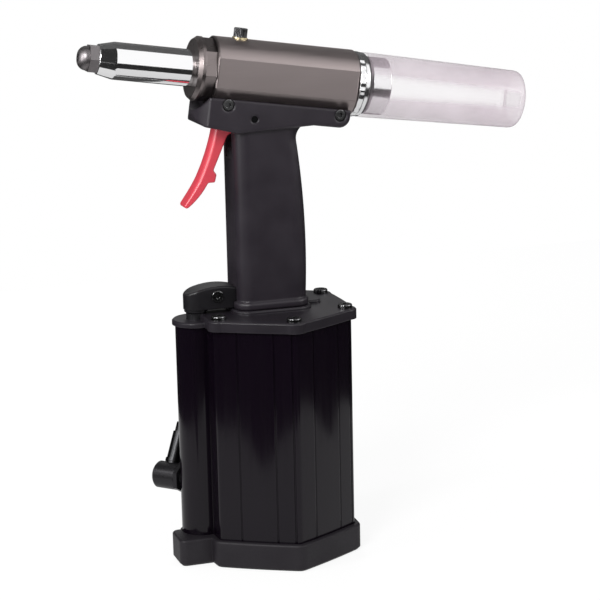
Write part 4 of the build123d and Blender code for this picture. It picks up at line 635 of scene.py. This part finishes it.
def socketScrew(settings):
    # Key floor and wall follow a hexagon and the rest is round. Flutes may run down the head's side,
    # and fade towards its foot and its top
    head, height, flat = settings["head"], settings["height"], settings["flats"] / 2
    shank, floor, end = settings["shank"], height - settings["key"], -settings["reach"]
    corners = inMetres((
        (floor, flat * screwForm["core"], 1.0), (floor, flat, 1.0), (height, flat, 1.0), (height, head),
        (0.0, head), (0.0, shank), (end, shank), (end, shank * screwForm["core"])))
    bends = [*screwForm["keyBends"], settings["bend"], *screwForm["shankBends"]]
    rows = openProfile(corners, np.array(bends) * millimetre)
    around, flutes, depths = screwForm["around"], 0, 0.0
    if "flutes" in settings:
        length, radius = rows[:, :1] / millimetre, rows[:, 1:2] / millimetre
        foot, top = settings["fades"]
        side = fade(length, 0.0, foot) * fade(length, height, height - top)
        outer = radius > head - settings["band"]
        flutes, depths = settings["flutes"], settings["depth"] * millimetre * outer * side
        around = flutes * settings["stepsPerFlute"]
    return turned(rows, around, flutes, depths, pins=corners[[0, -1], 0])


# Cover screws: six upright ones on a circle, at these angles in degrees
coverScrew = {"head": 4.35, "height": 2.5, "flats": 2.5, "key": 1.4, "shank": 2.0, "reach": 16.2,
              "bend": 1.15, "circle": 45.2, "seat": 150.9,
              "angles": (30.0, 90.0, 150.0, 210.0, 270.0, 330.0)}


def coverScrews(settings):
    angle = np.radians(settings["angles"])[:, None]
    outward = np.cos(angle) * rearward + np.sin(angle) * across
    sideways = np.cos(angle) * across - np.sin(angle) * rearward
    starts = (settings["circle"] * outward + settings["seat"] * upward) * millimetre
    return stood("coverScrews", socketScrew(settings), starts, outward, sideways, upward)


# Saddle screws: two on each side of the head, so far along it, below its axis and sideways
saddleScrew = {"head": 3.5, "height": 3.6, "flats": 3.0, "key": 1.8, "shank": 2.0, "reach": 11.8,
               "bend": 0.6, "lengths": (-26.0, 42.5), "below": 17.7, "side": 15.8}


def saddleScrews(settings):
    length, sign = np.meshgrid(settings["lengths"], (-1.0, 1.0), indexing="ij")
    length, sign = length.reshape(-1, 1), sign.reshape(-1, 1)
    offsets = length * headBack - settings["below"] * headUp + settings["side"] * sign * across
    starts = headStart + offsets * millimetre
    return stood("saddleScrews", socketScrew(settings), starts, headBack, sign * headUp, sign * across)


# Chest screw: on the near side of the valve chest, in line with the rocker's pivot
chestScrew = {"head": 3.6, "height": 1.3, "flats": 2.5, "key": 0.8, "shank": 1.2, "reach": 16.0,
              "bend": 0.6, "seat": (-35.3, -8.0, 161.4)}


def chestScrewPiece(settings):
    start = np.array(settings["seat"]) * millimetre
    return stood("chestScrew", socketScrew(settings), start, rearward, upward, -across)


# Bleed screw: upright on the head, so far along it and above its axis, with a fluted side
bleedScrew = {"head": 4.0, "height": 5.4, "flats": 4.0, "key": 2.5, "shank": 2.0, "reach": 5.4,
              "bend": 0.7, "length": -17.8, "above": 20.565,
              "flutes": 26, "depth": 0.28, "band": 0.5, "fades": (0.6, 0.9), "stepsPerFlute": 10}


def bleedScrewPiece(settings):
    start = headStart + (settings["length"] * headBack + settings["above"] * headUp) * millimetre
    return stood("bleedScrew", socketScrew(settings), start, headBack, across, headUp)


# Trigger: points of its side view, measured from the head's centre. The crown is the rounding of its
# front: it comes in as the flank turns to face forwards and below the shoulder, and it thins at the tip
lever = {
    "front": ((-32.7, -25.95), (-39.2, -47.65), (-52.2, -71.95)),
    "tip": ((-52.2, -71.95), (-52.5, -73.9), (-50.6, -74.25)),
    "finger": ((-50.6, -74.25), (-44.3, -68.75), (-38.0, -60.25)),
    "nub": ((-33.9, -60.25), (-32.7, -55.55)),
    "back": ((-34.6, -53.15), (-29.5, -41.95), (-25.8, -33.35)),
    "pivot": (-12.962, -22.75), "eye": 3.3, "bore": 2.05, "halfWidth": 6.0, "blur": 0.55, "edgeRound": 0.8,
    "crownWidth": 5.2, "crownDepth": 2.4, "flank": (0.2, 0.8), "shoulder": 3.0, "tipTaper": 14.0,
    "tipLeast": 0.12, "arcSteps": 40, "outlineSteps": 420, "roundSteps": 8, "boreSteps": 32,
}


def throughThree(points, steps):
    # Points along the circle through three points, from the first to the last
    first, middle, last = points = np.array(points)
    sides = np.stack([middle - first, last - first])
    centre = np.linalg.solve(2 * sides, [middle @ middle - first @ first, last @ last - first @ first])
    spokes = points - centre
    angles = np.unwrap(np.arctan2(spokes[:, 1], spokes[:, 0]))
    turn = np.interp(np.linspace(0.0, 2.0, steps), [0.0, 1.0, 2.0], angles)
    return centre + np.linalg.norm(spokes[0]) * np.stack([np.cos(turn), np.sin(turn)], axis=1)


def leverOutline(settings):
    # Arcs and corners joined, spaced evenly, and smoothed by damping the short waves of the closed curve;
    # the curve is complex, with x as its real part
    count, arcSteps = settings["outlineSteps"], settings["arcSteps"]
    eye = np.array(settings["pivot"]) + settings["eye"] * np.array([(0.0, -1.0), (1.0, 0.0), (0.0, 1.0)])
    arcs = [*(settings[key] for key in ("front", "tip", "finger", "back")), eye]
    front, tip, finger, back, eye = (throughThree(arc, arcSteps) for arc in arcs)
    corners = np.concatenate([front, tip, finger, settings["nub"], back, eye, front[:1]])
    length = np.concatenate([[0.0], np.linalg.norm(np.diff(corners, axis=0), axis=1).cumsum()])
    even = np.linspace(0.0, length[-1], count, endpoint=False)
    curve = np.interp(even, length, corners[:, 0]) + 1j * np.interp(even, length, corners[:, 1])
    waves = 2 * np.pi * np.fft.fftfreq(count, length[-1] / count)
    return np.fft.ifft(np.fft.fft(curve) * np.exp(-((waves * settings["blur"]) ** 2) / 2))


def leverWall(settings):
    # The outline is moved inwards by an elliptic amount near each side, deepest on the front flank;
    # returns a row of the outline for each place across the trigger, and those places
    curve = leverOutline(settings)
    tangent = np.roll(curve, -1) - np.roll(curve, 1)
    inward = 1j * tangent / np.abs(tangent)
    top, tip, shoulder = settings["front"][0][1], settings["front"][2][1], settings["shoulder"]
    crown = fade(inward.real, *settings["flank"]) * fade(curve.imag, top + shoulder, top - shoulder)
    crown = crown * np.maximum(fade(curve.imag, tip, tip + settings["tipTaper"]), settings["tipLeast"])
    edge = settings["edgeRound"]
    reach = edge + (settings["crownWidth"] - edge) * crown
    depth = edge + (settings["crownDepth"] - edge) * crown
    angle = np.linspace(0.0, np.pi / 2, settings["roundSteps"])[:, None]
    half = settings["halfWidth"] - reach + reach * np.sin(angle)
    inset = curve + inward * depth * (1 - np.cos(angle))
    return np.concatenate([inset[::-1], inset]), np.concatenate([-half[::-1], half])


def leverSides(settings, rim, near, far):
    # On each side two flat faces, blade and heel, meet above and below the pin's bore: each goes along
    # the rim from one of these points to the other and comes back round half of the bore
    rows, count, steps = 2 * settings["roundSteps"], len(rim), settings["boreSteps"]
    fromPivot = rim - complex(*settings["pivot"])
    above, below = (np.abs(fromPivot - 1j * eye).argmin() for eye in (settings["eye"], -settings["eye"]))
    blade = np.arange(above, above + (below - above) % count + 1) % count
    heel = np.arange(below, below + (above - below) % count + 1) % count
    quarter = steps // 4
    leftHalf = np.arange(3 * quarter, quarter - 1, -1)
    rightHalf = np.arange(quarter, -quarter - 1, -1) % steps
    return [np.concatenate([firstOfRim + part, bore[half]])[None, ::turn]
            for firstOfRim, bore, turn in (((rows - 1) * count, far, -1), (0, near, 1))
            for part, half in ((blade, leftHalf), (heel, rightHalf))]


def leverShape(settings):
    # The wall's rows from side to side, the edges of the pin's bore, and the flat sides
    outline, sideways = leverWall(settings)
    rows, count = outline.shape
    wall = np.stack([outline.real, outline.imag, sideways], axis=-1).reshape(-1, 3)
    steps, width = settings["boreSteps"], settings["halfWidth"]
    ring = complex(*settings["pivot"]) + settings["bore"] * np.exp(2j * np.pi * np.arange(steps) / steps)
    edges = [np.stack([ring.real, ring.imag, np.full(steps, place)], axis=1) for place in (-width, width)]
    near = len(wall) + np.arange(steps)
    far = near + steps
    boreQuads = np.stack([near, np.roll(near, -1), np.roll(far, -1), far], axis=1)
    sides = leverSides(settings, outline[-1], near, far)
    points = np.concatenate([wall, *edges]) * millimetre
    return points, [gridQuads(rows, count)[:-1].reshape(-1, 4), boreQuads, *sides]


def triggerLever(settings):
    shape = leverShape(settings)
    piece = stood("triggerLever", shape, headStart, rearward, upward, across)
    # The rounded wall is smooth, the flat sides and the bore are not
    wallFaces = len(shape[1][0])
    piece.data.polygons.foreach_set("use_smooth", np.arange(len(piece.data.polygons)) < wallFaces)
    return piece


# Coil springs: radii of coil and wire, turns, and the seats' places along the axis, with a gap to them
returnCoil = {"coil": 11.5, "wire": 1.25, "turns": 5.5, "seats": (-2.0, 33.0), "gap": 0.1,
              "stepsPerTurn": 48, "around": 12}
valveCoil = {"coil": 2.4, "wire": 0.25, "turns": 3.0, "seats": (159.8, 163.8), "gap": 0.1,
             "stepsPerTurn": 48, "around": 12}
valveLine = np.array([-46.5, 0.0, 0.0]) * millimetre  # foot of the valve's upright axis


def coilShape(settings):
    # A wire circle carried along a helix, square to the helix's own direction
    (first, last), coil, turns = settings["seats"], settings["coil"], settings["turns"]
    margin = settings["wire"] + settings["gap"]
    share = np.linspace(0.0, 1.0, int(turns * settings["stepsPerTurn"]))[:, None, None]
    angle = 2 * np.pi * turns * share
    rise = last - first - 2 * margin
    climb = np.full_like(angle, rise / (2 * np.pi * turns * coil))
    outward = np.concatenate([np.cos(angle), np.sin(angle), 0 * angle], axis=-1)
    tangent = np.concatenate([-np.sin(angle), np.cos(angle), climb], axis=-1)
    side = np.cross(tangent, outward) / np.sqrt(1 + climb**2)
    centre = coil * outward + upward * (first + margin + rise * share)
    spin = np.linspace(0.0, 2 * np.pi, settings["around"], endpoint=False)[None, :, None]
    points = centre + settings["wire"] * (np.cos(spin) * outward + np.sin(spin) * side)
    return skinned(points * millimetre, centre[[0, -1], 0] * millimetre)


def pressSpring(piece):
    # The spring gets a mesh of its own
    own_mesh(piece)


def facesOutward(piece):
    # A mesh with a negative signed volume has its faces turned over
    mesh = piece.data
    mesh.calc_loop_triangles()
    corners = np.zeros(len(mesh.loop_triangles) * 3, np.int32)
    mesh.loop_triangles.foreach_get("vertices", corners)
    points = np.zeros(len(mesh.vertices) * 3)
    mesh.vertices.foreach_get("co", points)
    first, second, third = points.reshape(-1, 3)[corners.reshape(-1, 3)].transpose(1, 0, 2)
    if np.sum(first * np.cross(second, third)) < 0:
        mesh.flip_normals()


def wear(piece, body, slotName, replaced, finish=None):
    facesOutward(piece)
    piece.data.materials.append(materials[finish or slotName])
    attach(piece, body)
    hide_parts(replaced)


wear(knurledRing(knurl), "vacuum_ring", "ring_chrome", "vacuum_ring")
wear(turnedTube("noseTube", noseProfile), "housing", "nose_chrome", "nose_housing")
wear(turnedTube("spigotSleeve", spigotProfile), "housing", "ring_chrome", "collector_spigot")
wear(collectorCup(cupProfile), "collector", "collector_clear", "mandrel_collector")
print("nose, ring, spigot and cup turned")
wear(coverScrews(coverScrew), "housing", "screw_steel", "cover_screws")
wear(saddleScrews(saddleScrew), "housing", "screw_steel", "saddle_screws")
wear(chestScrewPiece(chestScrew), "housing", "screw_steel", "rocker_pin")
wear(bleedScrewPiece(bleedScrew), "housing", "screw_steel", "bleed_screw", finish="bleed_steel")
print("screws set")
wear(triggerLever(lever), "trigger", "trigger_red", "trigger")
print("trigger shaped")
returnSpring = onHead("returnSpring", coilShape(returnCoil))
wear(returnSpring, "housing", "spring_steel", "return_spring")
pressSpring(returnSpring)
valveSpring = stood("valveSpring", coilShape(valveCoil), valveLine, rearward, across, upward)
wear(valveSpring, "housing", "spring_steel", "valve_spring")
pressSpring(valveSpring)
print("springs wound")
